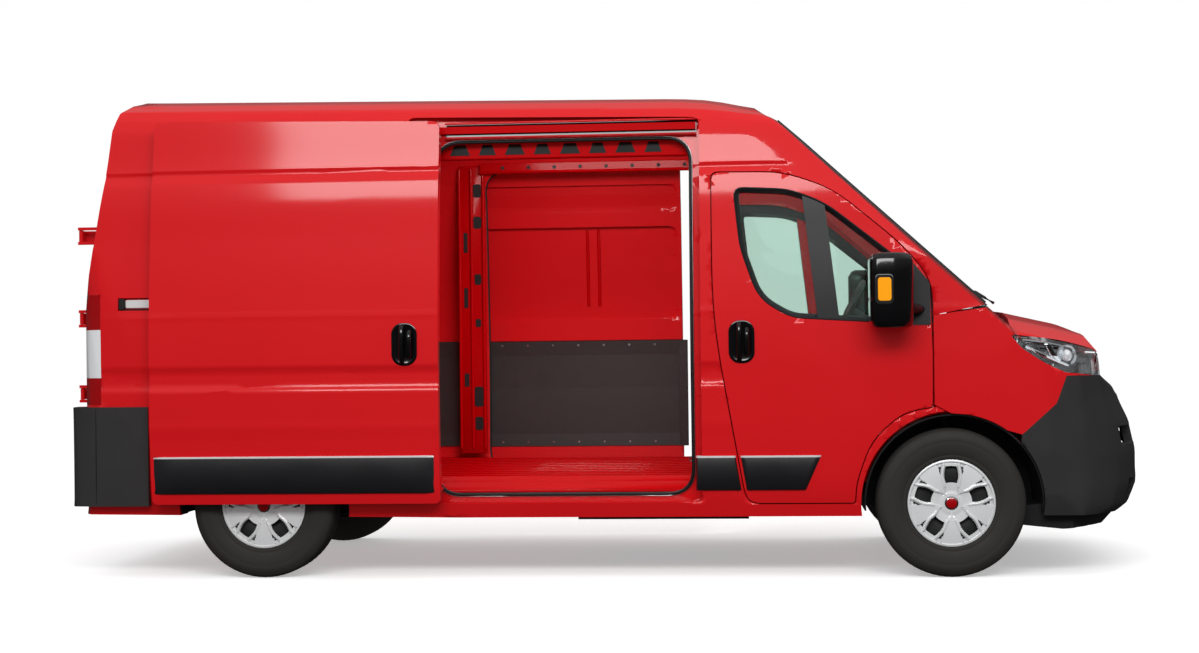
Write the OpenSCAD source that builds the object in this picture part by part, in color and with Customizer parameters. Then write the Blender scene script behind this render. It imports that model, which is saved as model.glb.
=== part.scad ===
// Panel van with a medium wheelbase, a medium-high roof and a sliding door on each side.
// Frame: origin on the ground under the middle of the length, +X forwards, +Y left, +Z up.
// The right sliding door stands fully open and the left one stands a little open.

/* [Overall sizes] */
// Distance between the axles
wheelbase = 3450; // [3000:10:4200]
// Front axle to the front of the bumper
front_overhang = 955; // [930:1:1000]
// Rear axle to the back of the bumper
rear_overhang = 1008; // [900:1:1300]
// Width over the rubbing strips
body_width = 2050; // [1850:10:2460]
// Height of the roof crown at the tail
roof_height = 2520; // [2300:10:2760]
// Drop of the roof from the tail to the windscreen, in degrees
roof_fall = 0.85; // [0:0.05:1.5]
// Underside of the sills at the tail
sill_height = 300; // [270:1:330]
// Top of the load floor
floor_height = 495; // [460:1:530]

/* [Walls] */
// Thickness of the whole side wall
wall_t = 85; // [70:1:102]
// Thickness of the roof skin with its bows
roof_t = 45; // [30:1:60]
// Thickness of the doors
door_t = 60; // [50:1:66]
// Thickness of the pressed floor
floor_t = 30; // [20:1:40]
// Thickness of the wings and the bonnet
panel_t = 30; // [20:1:40]
// Shut line round everything that opens
shut_gap = 6; // [5:0.5:9]
// Thickness of the glass
glass_t = 5; // [4:0.5:6]
// How far the rubbing strips stand proud
strip_t = 12; // [8:1:18]
// Thickness of the plywood lining
lining_t = 8; // [5:1:12]

/* [Openings and doors] */
// Clear width of a side opening
aperture_width = 1300; // [1080:10:1400]
// Bottom of the side openings
aperture_bottom = 413; // [405:1:425]
// Top of the side openings
aperture_top = 2205; // [1900:5:2225]
// Width of a sliding door
slide_width = 1475; // [1450:5:1500]
// Travel of the right sliding door from closed
right_travel = 1300; // [1100:10:1310]
// Travel of the left sliding door from closed
left_travel = 175; // [0:5:400]
// Length of a cab door
cab_door_width = 1077; // [1040:1:1090]
// Width of the opening between the rear pillars
rear_opening = 1600; // [1500:10:1640]

/* [Wheels] */
// Outside diameter of a tyre under load
tyre_d = 730; // [690:5:740]
// Width of a tyre
tyre_w = 215; // [195:5:225]
// Diameter of the rim where the tyre sits
rim_d = 440; // [420:5:460]
// Distance between the front tyre centres
track_front = 1810; // [1780:5:1830]
// Distance between the rear tyre centres
track_rear = 1780; // [1770:5:1800]
// Radius of the wheel openings
arch_r = 440; // [425:5:450]

/* [Hidden] */
$fn = 64;
eps = 0.5;
run_gap = 0.3;
far = 4000;

overall_length = front_overhang + wheelbase + rear_overhang;
nose_x = overall_length / 2;
fx = nose_x - front_overhang;
rx = fx - wheelbase;
bumper_depth = 56;
tail_x = -overall_length / 2 + bumper_depth;
hw = body_width / 2 - strip_t;
rh = roof_height;
wheel_z = tyre_d / 2;
arch_x = fx + 15;

// Side openings and sliding doors
ap_front = fx - 1267;
ap_rear = ap_front - aperture_width;
slide_lap = 40;
slide_front = ap_front + slide_lap;
slide_rear = slide_front - slide_width;
slide_bottom = sill_height + 80;
slide_top = 2330;
slide_out = door_t + 24;
rebate = door_t + 4;

// Cab doors
door_front = fx - 83;
door_rear = door_front - cab_door_width;
hinge_ahead = 45;
hinge_in = 34;
hinge_pocket = hinge_in + 44;
cab_hinge = [door_front + hinge_ahead, hw - hinge_in];
cab_hinge_z = [930, 1230];
door_relief = norm([hinge_ahead - shut_gap, hinge_in]) + 5.5;

// Rear doors
rear_edge = rear_opening / 2 + 26;
rear_hinge = [tail_x - 40, rear_edge + 9];
rear_hinge_z = [940, 1330, 1760];
rear_door_bottom = 545;
rear_door_top = rh - 225;

// Bonnet
bonnet_rear = nose_x - 640;
bonnet_pivot = [bonnet_rear + 5, 1285];
bonnet_ear_y = 350;
lamp_in = 520;

// Steering
kingpin_y = track_front / 2 - 70;
column_tilt = 28;
wheel_centre = [fx - 435, 430, 1330];

// ---------------------------------------------------------------- outlines

function unit(v) = v / norm(v);
function outward(a, b) = let (d = unit(b - a)) [d[1], -d[0]];
function flat(p) = [p[0], p[1]];

// An outline drawn counter-clockwise, moved outwards by d
function grow(p, d) = let (n = len(p)) [for (i = [0:n - 1])
    let (before = outward(p[(i + n - 1) % n], p[i]),
        after = outward(p[i], p[(i + 1) % n]),
        m = unit(before + after))
    p[i] + m * d / (m * before)];

// An outline of [x, z, reach] points whose corners are curves that start reach away
function soft(p, steps = 4) = let (n = len(p)) [for (i = [0:n - 1])
    let (b = flat(p[i]),
        a = flat(p[(i + n - 1) % n]),
        c = flat(p[(i + 1) % n]),
        r = p[i][2])
    each (r == 0 ? [b] : [for (k = [0:steps])
        let (t = k / steps,
            s = b + unit(a - b) * min(r, norm(a - b) * 0.45),
            e = b + unit(c - b) * min(r, norm(c - b) * 0.45))
        (1 - t) * (1 - t) * s + 2 * t * (1 - t) * b + t * t * e])];

// The same, with its corner points first moved outwards by d
function shaped(p, d = 0) = let (moved = grow([for (q = p) flat(q)], d))
    soft([for (i = [0:len(p) - 1]) [moved[i][0], moved[i][1], p[i][2]]]);

// A closed outline from the points of its right half
function mirrored(half) = concat(half,
    [for (i = [len(half) - 1:-1:0]) if (half[i][0] > 0) [-half[i][0], half[i][1]]]);

function rectangle(x0, z0, x1, z1, r = 0) = [[x0, z0, r], [x1, z0, r], [x1, z1, r], [x0, z1, r]];

// Half of the section of the sides, from the sill up
side_half = [[hw - 58, sill_height], [hw - 34, sill_height + 100], [hw - 14, 620],
    [hw - 3, 900], [hw, 1100], [hw - 8, 1320], [hw - 40, 1700], [hw - 75, 2005],
    [hw - 92, 2075], [hw - 126, rh - 220], [hw - 180, rh + 100]];

// Half of the section of the roof, whose edges run out past the sides
roof_half = [[hw + 200, -1200], [hw + 92, rh - 820], [hw - 146, rh - 170], [hw - 176, rh - 120],
    [hw - 260, rh - 76], [hw - 420, rh - 40], [hw - 700, rh - 11], [0, rh]];

// Half of the section of the bonnet and wings
bonnet_top = 1300;
bonnet_half = [[hw + 200, -200], [hw + 60, bonnet_top - 700], [hw - 12, bonnet_top - 300],
    [hw - 60, bonnet_top - 190], [hw - 140, bonnet_top - 105], [hw - 280, bonnet_top - 48],
    [hw - 520, bonnet_top - 14], [0, bonnet_top]];

// The body from above: [x, half width]
plan_half = [[nose_x, 0], [nose_x - 6, 300], [nose_x - 28, 560], [nose_x - 75, 740],
    [nose_x - 165, 870], [nose_x - 300, hw - 60], [nose_x - 480, hw - 20],
    [nose_x - 700, hw + 2], [tail_x + 420, hw + 2], [tail_x + 260, hw - 4],
    [tail_x + 110, hw - 20], [tail_x + 45, hw - 50], [tail_x + 12, hw - 95],
    [tail_x, hw - 150], [tail_x, 0]];
plan_outline = concat([for (p = plan_half) p],
    [for (i = [len(plan_half) - 2:-1:1]) [plan_half[i][0], -plan_half[i][1]]]);

// The cabin and load space from the side, open to the front
cabin_profile = [[tail_x, 100], [nose_x, 100], [nose_x, rh + 300], [tail_x + 330, rh + 300],
    [tail_x + 235, rh - 60], [tail_x + 175, rh - 130], [tail_x + 150, rh - 220],
    [tail_x + 120, 2000], [tail_x + 75, 1700], [tail_x + 35, 1500], [tail_x, 1300]];

// The nose from the side
nose_profile = [[fx - 700, 231], [fx + 440, 231], [nose_x - 140, 262], [nose_x - 75, 305],
    [nose_x - 25, 400], [nose_x, 520], [nose_x - 10, 700], [nose_x - 45, 880],
    [nose_x - 85, 935], [nose_x - 150, 985], [nose_x - 190, 1100], [nose_x - 260, 1190],
    [nose_x - 390, 1255], [nose_x - 660, 1330], [nose_x - 1100, 1400], [fx - 700, 1400]];

screen_angle = 42.5;
screen_r = 5500;
screen_point = [fx - 441, 2010];
header = [fx - 1030, rh - 50];

// ---------------------------------------------------------------- solids from outlines

module xz(y0, y1, p) translate([0, y1, 0]) rotate([90, 0, 0]) linear_extrude(y1 - y0) polygon(p);
module yz(x0, x1, p) translate([x0, 0, 0]) rotate([90, 0, 90]) linear_extrude(x1 - x0) polygon(p);
module xy(z0, z1, p) translate([0, 0, z0]) linear_extrude(z1 - z0) polygon(p);
module box(a, b) translate(a) cube(b - a);
module both_sides() { children(); mirror([0, 1, 0]) children(); }
module on_left() mirror([0, 1, 0]) children();
module across(p, r, l) translate(p) rotate([90, 0, 0]) cylinder(r = r, h = l, center = true);
module upright(p, r, l) translate(p) cylinder(r = r, h = l);

// ---------------------------------------------------------------- the body's form

module tilted(pivot, angle, half, t) translate([pivot[0], 0, pivot[1]]) rotate([0, angle, 0])
    translate([-pivot[0], 0, -pivot[1]]) yz(-far * 2, far * 2, grow(mirrored(half), -t));

module screen_form(t) translate([screen_point[0], 0, screen_point[1]])
    rotate([0, screen_angle - 90, 0]) translate([-screen_r, 0, -far])
    cylinder(r = screen_r - t, h = far * 2, $fn = 720);

module sides_form(t) intersection() {
    yz(-far, far, grow(mirrored(side_half), -t));
    xy(0, far, grow(plan_outline, -t));
}

module cabin_form(t) intersection() {
    tilted([tail_x, rh], roof_fall, roof_half, t);
    tilted(header, 24, roof_half, t);
    xz(-far, far, grow(cabin_profile, -t));
    screen_form(t);
}

module load_form(t) intersection() {
    sides_form(t);
    tilted([tail_x, rh], roof_fall, roof_half, t);
    xz(-far, far, grow(cabin_profile, -t));
}

module nose_form(t) intersection() {
    tilted([nose_x - 560, bonnet_top], 13, bonnet_half, t);
    xz(-far, far, grow(nose_profile, -t));
}

module body_form(t) intersection() {
    sides_form(t);
    union() {
        cabin_form(t);
        nose_form(t);
    }
}

module wheel_opening(x, r, y0, y1) {
    across([x, (y0 + y1) / 2, wheel_z], r, y1 - y0);
    box([x - r + 8, y0, -10], [x + r - 8, y1, wheel_z]);
}

// ---------------------------------------------------------------- outlines of the openings

cab_door_points = [[door_rear + 179, slide_bottom - 12, 60], [arch_x - 485, slide_bottom - 12, 12],
    [arch_x - 478, 470, 60], [arch_x - 405, 675, 90], [arch_x - 250, 815, 90],
    [arch_x - 90, 842, 20], [door_front, 846, 12], [door_front, 1455, 90],
    [door_rear + 945, 1630, 120], [door_rear + 600, 1925, 120], [door_rear + 350, 2012, 90],
    [door_rear, 2018, 40], [door_rear, 1440, 200], [door_rear + 22, 1160, 200],
    [door_rear + 150, 420, 40]];

window_outline = soft([[door_rear + 388, 1283, 60], [door_front - 8, 1240, 12], [door_front - 8, 1440, 40],
    [door_rear + 905, 1585, 60], [door_rear + 560, 1862, 90], [door_rear + 380, 1930, 60],
    [door_rear + 103, 1945, 60], [door_rear + 135, 1640, 60], [door_rear + 225, 1380, 90]]);

bar_front = [[door_rear + 530, 1200], [door_rear + 630, 1200], [door_rear + 540, 2000], [door_rear + 440,
    2000]];

aperture_outline = soft(rectangle(ap_rear, aperture_bottom, ap_front, aperture_top, 130), 6);
slide_points = [[slide_rear, slide_bottom, 30], [slide_front, slide_bottom, 30],
    [slide_front, slide_top - 28, 40], [slide_rear, slide_top, 40]];

bumper_line = [[arch_x + 330, 700], [arch_x + 500, 850], [arch_x + 552, 985]];
lamp_outline = soft([[fx + 295, 1186, 0], [fx + 345, 1125, 20], [fx + 455, 1050, 40], [fx + 562, 1000, 20],
    [nose_x - 200, 985, 0], [nose_x - 100, 985, 0], [nose_x - 200, 1105, 30], [fx + 520, 1160, 60]]);
bonnet_outline = [[bonnet_rear, 1172], [fx + 400, 1140], [fx + 520, 1100], [fx + 668, 1020], [fx + 768, 991],
    [nose_x + 50, 991], [nose_x + 50, 1500], [bonnet_rear, 1500]];

module arch_band(r) wheel_opening(arch_x, r, -far, far);

// ---------------------------------------------------------------- floor and walls

rail_z = floor_height - floor_t;
rail_from = 75;
rail_y = [440, 520];
rail_h = 90;
liner_t = 8;
liner_in_front = 560;
liner_in_rear = 712;
liner_r = arch_r - 10;
step_in = hw - 205;
step_z = 432;
bulk_x = fx + 330;

box_t = 6;
load_t = 12;

module liner_drum(x, y_in, grow_by) translate([x, -(y_in - grow_by), wheel_z]) rotate([90, 0, 0])
    cylinder(r = liner_r + grow_by, h = hw - 20 - y_in + grow_by);

module floor_plate() {
    intersection() {
        box([tail_x + 60, -far, rail_z], [bulk_x, far, floor_height]);
        load_form(wall_t);
    }
    // sill under the rear doors
    box([tail_x, -rear_edge, rail_z - 35], [tail_x + 62, rear_edge, rear_door_bottom - shut_gap]);
    box([tail_x + 40, -rear_edge, rail_z], [tail_x + wall_t + 5, rear_edge, floor_height]);
}

module wheel_box(x, y_in) difference() {
    intersection() {
        liner_drum(x, y_in, liner_t + box_t);
        load_form(wall_t);
        box([-far, -far, rail_z], [far, 0, far]);
    }
    liner_drum(x, y_in, liner_t);
}

module floor_pan() color("#b3161b") {
    difference() {
        floor_plate();
        load_bed(1);
        both_sides() {
            box([ap_rear + 10, -far, 0], [ap_front - 10, -step_in, far]);
            liner_drum(arch_x, liner_in_front, liner_t + box_t);
            liner_drum(rx, liner_in_rear, liner_t + box_t);
        }
    }
    both_sides() {
        intersection() {
            union() {
                box([ap_rear + 10, -far, step_z - 10], [ap_front - 10, -step_in, step_z]);
                box([ap_rear + 10, -step_in - 6, step_z - 10], [ap_front - 10, -step_in, rail_z + 5]);
            }
            load_form(wall_t);
        }
        for (x = [ap_rear + 10, ap_front - 16]) intersection() {
            box([x, -far, step_z - 10], [x + 6, -step_in, rail_z + 5]);
            load_form(wall_t);
        }
    }
}

// Ribbed load floor, let into the pan between the rear wheel boxes
module load_bed(rise) box([tail_x + wall_t + 20, -liner_in_rear + liner_t + 2 * box_t, floor_height - load_t],
    [ap_front, liner_in_rear - liner_t - 2 * box_t, floor_height + rise]);
module load_floor() color("#b3161b") load_bed(0);

module wheel_boxes() color("#b3161b") both_sides() {
    wheel_box(arch_x, liner_in_front);
    wheel_box(rx, liner_in_rear);
}

// Where a side wall lies, seen from the front
corner_z = [2130, 2330];
corner_slope = (rear_edge + shut_gap - hw + 235) / (corner_z[1] - corner_z[0]);
wall_region = [[-far, 0], [-rear_edge - shut_gap, 0], [-rear_edge - shut_gap, corner_z[0]], [-hw + 235,
    corner_z[1]],
    [-hw + 235, far], [-far, far]];

// What a rebate takes off the wall: everything outside the form drawn in by depth
module door_recess(outline, depth) difference() {
    xz(-far, -hw + 320, outline);
    sides_form(depth);
}

wing_heel = [850, 790];
mid_track_z = 1398;
mid_track_h = 64;
mid_track_rear = slide_rear - right_travel - 190;

module cab_side_form(t) intersection() {
    sides_form(t);
    tilted([tail_x, rh], roof_fall, roof_half, t);
    tilted(header, 24, roof_half, t);
    xz(-far, far, grow(cabin_profile, -t));
    screen_form(t);
}

// The right side wall with its pillars, sill, cantrail and windscreen pillar
module side_wall() {
    pierced_wall();
    // post behind the wing, for the door hinges
    box([door_front + shut_gap - eps, -hw + hinge_pocket, 846], [door_front + 110, -hw + hinge_pocket + 22,
        1289]);
}

module pierced_wall() difference() {
    intersection() {
        cab_side_form(0);
        yz(-far, far, wall_region);
        xz(-far, 0, [[tail_x - 50, sill_height + 25], [arch_x - 478, sill_height - 25],
            [arch_x + 20, sill_height - 25], [arch_x + 20, wing_heel[1] - shut_gap],
                [door_front + shut_gap, wing_heel[0] - shut_gap],
            [door_front + shut_gap, 1290], [bonnet_rear, 1365], [bonnet_rear, far], [tail_x - 50, far]]);
    }
    cab_side_form(wall_t);
    wheel_opening(rx, arch_r, -far, 0);
    wheel_opening(arch_x, arch_r + 14, -far, 0);
    // sliding door: clear opening and the rebate that it shuts into
    xz(-far, 0, aperture_outline);
    door_recess(shaped(slide_points, shut_gap), rebate);
    // cab door: clear opening and rebate
    xz(-far, 0, shaped(cab_door_points, -34));
    door_recess(shaped(cab_door_points, shut_gap), rebate);
    // hinge pocket ahead of the cab door
    box([door_front - 75, -far, 860], [door_front + 120, -hw + hinge_pocket, 1288]);
    // recess for the middle track
    box([mid_track_rear, -far, mid_track_z - mid_track_h / 2],
        [slide_rear + 1, -hw + 38, mid_track_z + mid_track_h / 2]);
    // bed of the top track, and room for the lower roller arm of the open door
    box([slide_rear + 12, -top_track_y, top_track_z[0]], [slide_front - 12, -top_track_y + 40,
        top_track_z[1]]);
    box([slide_front - 22 - right_travel, -far, step_z + 6], [slide_front - 2 - right_travel, 0,
        step_z + 22]);
    // pillar holes on the inside
    for (z = [700, 985, 1130, 1480, 1720])
        box([ap_rear - 114, -hw + 60, z - 18], [ap_rear - 66, 0, z + 18]);
    tail_lamp_cut();
    screen_glass_cut();
}

// Fixed pins and brackets that the cab doors and rear doors turn on
module hinge_pins() color("#8f1418") both_sides() {
    for (z = cab_hinge_z) {
        upright([cab_hinge[0], -cab_hinge[1], z - 40], 6, 80);
        for (dz = [-40, 28]) box([cab_hinge[0] - 12, -cab_hinge[1] - 10, z + dz],
            [cab_hinge[0] + 14, -hw + hinge_pocket, z + dz + 12]);
    }
    for (z = rear_hinge_z) {
        upright([rear_hinge[0], -rear_hinge[1], z - 45], 7, 90);
        for (dz = [-45, 30]) intersection() {
            box([rear_hinge[0] - 12, -rear_hinge[1] - 16, z + dz], [tail_x + 200, -rear_hinge[1] + 4,
                z + dz + 15]);
            difference() {
                box([-far, -far, 0], [far, 0, far]);
                load_form(0);
            }
        }
    }
}

module screen_glass_cut() intersection() {
    xz(-far, far, [[fx - 980, 2300], [fx - 980, 1300], [nose_x, 1300], [nose_x, 2300]]);
    box([-far, -screen_half_y, 0], [far, 0, far]);
    difference() {
        screen_form(-5);
        screen_form(wall_t + 40);
    }
}

module side_wall_right() color("#d31f26") side_wall();
module side_wall_left() color("#d31f26") on_left() side_wall();

screen_half_y = hw - 225;
screen_bottom = 1345;
screen_top = 2285;

module roof() color("#d31f26") {
    intersection() {
        difference() {
            load_form(0);
            load_form(roof_t);
        }
        cabin_form(0);
        box([tail_x, -hw + 235, rh - 200], [fx, hw - 235, far]);
    }
    // header beams over the rear doors and the windscreen
    intersection() {
        load_form(0);
        box([tail_x, -hw + 235, rear_door_top + shut_gap], [tail_x + 330, hw - 235, rh]);
    }
    intersection() {
        difference() {
            cabin_form(0);
            cabin_form(roof_t + 25);
        }
        sides_form(0);
        box([fx - 1100, -hw + 235, screen_top], [fx, hw - 235, far]);
    }
}

module scuttle() color("#2b2b2c") {
    difference() {
        intersection() {
            box([fx + 150, -hw + 150, 1190], [bonnet_rear - shut_gap, hw - 150, 1336]);
            body_form(12);
            sides_form(wall_t);
        }
        body_form(60);
        box([fx, -far, 0], [bonnet_rear - 60, far, 1250]);
        across([bonnet_pivot[0], 0, bonnet_pivot[1]], 39, far);
        both_sides() difference() {
            box([fx, -hw, 1250], [bonnet_rear, -hw + 235, far]);
            cab_side_form(wall_t + 2);
        }
    }
    // bulkhead between the engine bay and the cab
    difference() {
        box([bulk_x, -hw + 230, rail_z], [bulk_x + 20, hw - 230, 1190]);
        both_sides() {
            liner_drum(arch_x, liner_in_front, liner_t + 6);
            box([arch_x, -far, 0], [arch_x + liner_r + 20, -liner_in_front + liner_t + 6, wheel_z + 10]);
        }
    }
    // bonnet hinge pins
    for (s = [-1, 1]) {
        across([bonnet_pivot[0], s * bonnet_ear_y, bonnet_pivot[1]], 6, 50);
        for (dy = [-25, 17]) {
            across([bonnet_pivot[0], s * bonnet_ear_y + dy + 4, bonnet_pivot[1]], 10, 8);
            box([bonnet_pivot[0] - 60, s * bonnet_ear_y + dy, bonnet_pivot[1] - 14],
                [bonnet_pivot[0], s * bonnet_ear_y + dy + 8, bonnet_pivot[1] - 3]);
        }
    }
}

// ---------------------------------------------------------------- front end

module front_skin(t) difference() {
    body_form(0);
    body_form(t);
}

module wings() color("#d31f26") both_sides() difference() {
    intersection() {
        front_skin(panel_t);
        xz(-far, 0, concat([[door_front + shut_gap, wing_heel[0]], [arch_x + 20, wing_heel[1]]], bumper_line,
            [[nose_x - 200, 985], [nose_x - 200, 1400], [door_front + shut_gap, 1290]]));
        box([-far, -far, 0], [far, -hw + 330, far]);
    }
    wheel_opening(arch_x, arch_r, -far, 0);
    xz(-far, 0, lamp_outline);
    xz(-far, 0, grow(bonnet_outline, shut_gap));
    box([bonnet_rear - 200, -hw + 150, 0], [bonnet_rear + 20, 0, far]);
    // room for the cab door hinges
    box([door_front - 10, -hw + panel_t * 0.6, 860], [door_front + 75, 0, 1288]);
    box([door_front - 10, -hw + panel_t * 0.27, 860], [door_front + 14, 0, 1288]);
}

module bonnet() color("#d31f26") {
    difference() {
        intersection() {
            front_skin(panel_t);
            xz(-far, far, bonnet_outline);
        }
        both_sides() xz(-far, -lamp_in + shut_gap, grow(lamp_outline, shut_gap));
        for (s = [-1, 1]) box([bonnet_rear - 10, s * bonnet_ear_y - 32, 0],
            [bonnet_pivot[0] + 20, s * bonnet_ear_y + 32, bonnet_pivot[1] + 16]);
    }
    for (s = [-1, 1]) difference() {
        union() {
            across([bonnet_pivot[0], s * bonnet_ear_y, bonnet_pivot[1]], 11, 24);
            box([bonnet_pivot[0], s * bonnet_ear_y - 12, bonnet_pivot[1] - 11],
                [bonnet_pivot[0] + 40, s * bonnet_ear_y + 12, bonnet_pivot[1] + 8]);
        }
        across([bonnet_pivot[0], s * bonnet_ear_y, bonnet_pivot[1]], 6 + run_gap, 60);
    }
}

bumper_t = 45;
module front_bumper() color("#3a3839") difference() {
    intersection() {
        front_skin(bumper_t);
        xz(-far, far, concat([[arch_x + 300, 231], [nose_x + 10, 231], [nose_x + 10, 985]],
            [for (i = [2:-1:0]) bumper_line[i]]));
    }
    both_sides() {
        wheel_opening(arch_x, arch_r, -far, 0);
        // air intakes
        xz(-far, -540, soft(rectangle(nose_x - 130, 640, nose_x + 20, 730, 20)));
        box([nose_x - 100, -820, 380], [nose_x + 20, -560, 470]);
    }
    // grille slots and the lower intake
    for (z = [600:70:880]) box([nose_x - 120, -430, z], [nose_x + 20, 430, z + 34]);
    box([nose_x - 120, -480, 370], [nose_x + 20, 480, 520]);
}

module headlamps() color("#cfd6da") both_sides() difference() {
    intersection() {
        front_skin(80);
        xz(-far, 0, lamp_outline);
        box([-far, -far, 0], [far, -lamp_in, far]);
    }
    // room for the cowl and the bulkhead
    box([bulk_x - 200, -hw + 150 - shut_gap, 0], [bulk_x + 20 + shut_gap, 0, far]);
}

module windscreen() color([0.5, 0.65, 0.62, 0.45]) intersection() {
    screen_form(6);
    difference() {
        box([fx - 1200, -far, 0], [nose_x, far, far]);
        screen_form(6 + glass_t);
    }
    box([fx - 1100, -screen_half_y, screen_bottom], [nose_x, screen_half_y, screen_top]);
}

// ---------------------------------------------------------------- rear end

lamp_z = [884, 1449];
lamp_front = tail_x + 115;
module tail_lamp_cut() box([tail_x - 30, -far, lamp_z[0]], [lamp_front, -hw + 95, lamp_z[1]]);

module tail_lamps() color("#b3161b") both_sides() intersection() {
    load_form(0);
    box([tail_x - 30, -far, lamp_z[0]], [lamp_front, -hw + 95, lamp_z[1]]);
}

rear_bumper_top = 874;
module rear_bumper() color("#3a3839") {
    both_sides() difference() {
        intersection() {
            xy(369, rear_bumper_top, [[tail_x - bumper_depth, -hw + 120], [tail_x - bumper_depth + 12,
                -hw + 50],
                [tail_x - 20, -hw + 5], [tail_x + 60, -hw - 6], [tail_x + 367, -hw - 6], [tail_x + 367,
                    -hw + 20],
                [tail_x + 367, -rear_edge - 80], [tail_x - 4, -rear_edge - 80], [tail_x - 4, -rear_edge - 18],
                [tail_x - bumper_depth, -rear_edge - 18]]);
            box([-far, -far, 0], [far, far, far]);
        }
        load_form(0);
        wheel_opening(rx, arch_r + 2, -far, 0);
    }
    // step under the rear doors
    box([tail_x - bumper_depth, -rear_edge - 18, 400], [tail_x - 4, rear_edge + 18, 500]);
    both_sides() box([tail_x - bumper_depth, -rear_edge - 60, 400], [tail_x - 4, -rear_edge - 18, 500]);
    box([tail_x - 4, -500, 400], [tail_x + rail_from - run_gap, 500, rail_z - 40]);
}

module rear_door() {
    difference() {
        intersection() {
            difference() {
                load_form(0);
                load_form(door_t);
            }
            yz(tail_x - 5, tail_x + 330, [[-rear_edge, rear_door_bottom], [-rear_edge, corner_z[0]],
                [-rear_edge + corner_slope * (rear_door_top - corner_z[0]), rear_door_top],
                [-shut_gap / 2, rear_door_top], [-shut_gap / 2, rear_door_bottom]]);
            xz(-far, 0, [[tail_x - 5, 0], [tail_x + door_t, 0], [tail_x + door_t, 1300],
                [tail_x + door_t + 150, 2300], [tail_x + 160, 2400], [tail_x - 5, 2400]]);
        }
        // pressed panels on the inside
        for (z = [[650, 1150], [1330, 2150]]) intersection() {
            load_form(28);
            box([tail_x - 5, -rear_edge + 90, z[0]], [tail_x + 330, -90, z[1]]);
        }
    }
    for (z = rear_hinge_z) difference() {
        intersection() {
            box([rear_hinge[0] - 11, -rear_hinge[1] - 11, z - 29], [tail_x + 200, -rear_edge + 60, z + 29]);
            union() {
                upright([rear_hinge[0], -rear_hinge[1], z - 29], 11, 58);
                box([rear_hinge[0] - 6, -rear_hinge[1], z - 29], [rear_hinge[0] + 6, -rear_edge + 60,
                    z + 29]);
                box([rear_hinge[0] - 6, -rear_edge + 40, z - 29], [tail_x + 200, -rear_edge + 60, z + 29]);
            }
            difference() {
                box([-far, -far, 0], [far, 0, far]);
                load_form(0);
            }
        }
        upright([rear_hinge[0], -rear_hinge[1], z - 46], 7 + run_gap, 92);
    }
}
module rear_door_right() color("#d31f26") rear_door();
module rear_door_left() color("#d31f26") on_left() rear_door();

// ---------------------------------------------------------------- doors

module cab_door() {
    difference() {
        intersection() {
            sides_form(0);
            xz(-far, -hw + 320, shaped(cab_door_points));
        }
        sides_form(door_t);
        xz(-far, 0, window_outline);
        // front edge hollowed round the hinge line, so that it turns clear of the wing
        upright([cab_hinge[0], -cab_hinge[1], 0], door_relief, far);
    }
    // frame bar between the drop glass and the quarter light
    intersection() {
        difference() {
            sides_form(8);
            sides_form(door_t - 10);
        }
        xz(-far, -hw + 320, bar_front);
        xz(-far, -hw + 320, window_outline);
    }
    // cranked hinge arms
    for (z = cab_hinge_z) translate([cab_hinge[0], -cab_hinge[1], z - 22]) difference() {
        union() {
            cylinder(r = 11, h = 44);
            box([-5, 0, 0], [5, 38, 44]);
            box([-110, 28, 0], [5, 38, 44]);
            box([-110, 15, 0], [-62, 38, 44]);
        }
        translate([0, 0, -1]) cylinder(r = 6 + run_gap, h = 46);
    }
}
module cab_door_right() color("#d31f26") cab_door();
module cab_door_left() color("#d31f26") on_left() cab_door();

module door_glass() intersection() {
    difference() {
        sides_form(24);
        sides_form(24 + glass_t);
    }
    difference() {
        xz(-far, -hw + 320, window_outline);
        xz(-far, -hw + 320, bar_front);
        xz(-far, -hw + 320, [[door_front - 108, 1100], [door_front + 50, 1100], [door_front + 50, 1600],
            [door_front - 108, 1600]]);
    }
}
module door_glass_right() color([0.6, 0.75, 0.7, 0.4]) door_glass();
module door_glass_left() color([0.6, 0.75, 0.7, 0.4]) on_left() door_glass();

mirror_x = [door_front - 312, door_front - 98];
mirror_z = [1226, 1592];
module mirror_unit() {
    // sail that fills the front corner of the window
    intersection() {
        difference() {
            sides_form(-4);
            sides_form(door_t - 20);
        }
        xz(-far, -hw + 320, window_outline);
        xz(-far, -hw + 320, [[door_front - 108, 1100], [door_front + 50, 1100], [door_front + 50, 1600],
            [door_front - 108, 1600]]);
    }
    // arm and housing
    translate([door_front - 100, -hw - 60, 1300]) box([-60, -30, 0], [50, 60 + 18, 60]);
    xy(mirror_z[0], mirror_z[1], [for (p = soft([[mirror_x[0], -hw - 240, 40], [mirror_x[0] + 150,
        -hw - 240, 60],
        [mirror_x[1], -hw - 170, 60], [mirror_x[1], -hw - 60, 40], [mirror_x[0] + 20, -hw - 30, 20],
        [mirror_x[0], -hw - 40, 20]])) p]);
}
module mirror_right() color("#1d1d1e") mirror_unit();
module mirror_left() color("#1d1d1e") on_left() mirror_unit();

// What lies deeper than depth under the outer face, inside an outline
module inner_side(outline, depth) intersection() {
    xz(-far, 0, outline);
    sides_form(depth);
}

inner_panels = [[1314, 1872, 30], [1962, 2121, 35]];
ply_z = [546, 1189];
ply_depth = door_t - lining_t - 4;
track_in = 26;
top_track_z = [2248, 2284];
top_inset = 126;
top_track_y = hw - top_inset - 36;

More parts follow.
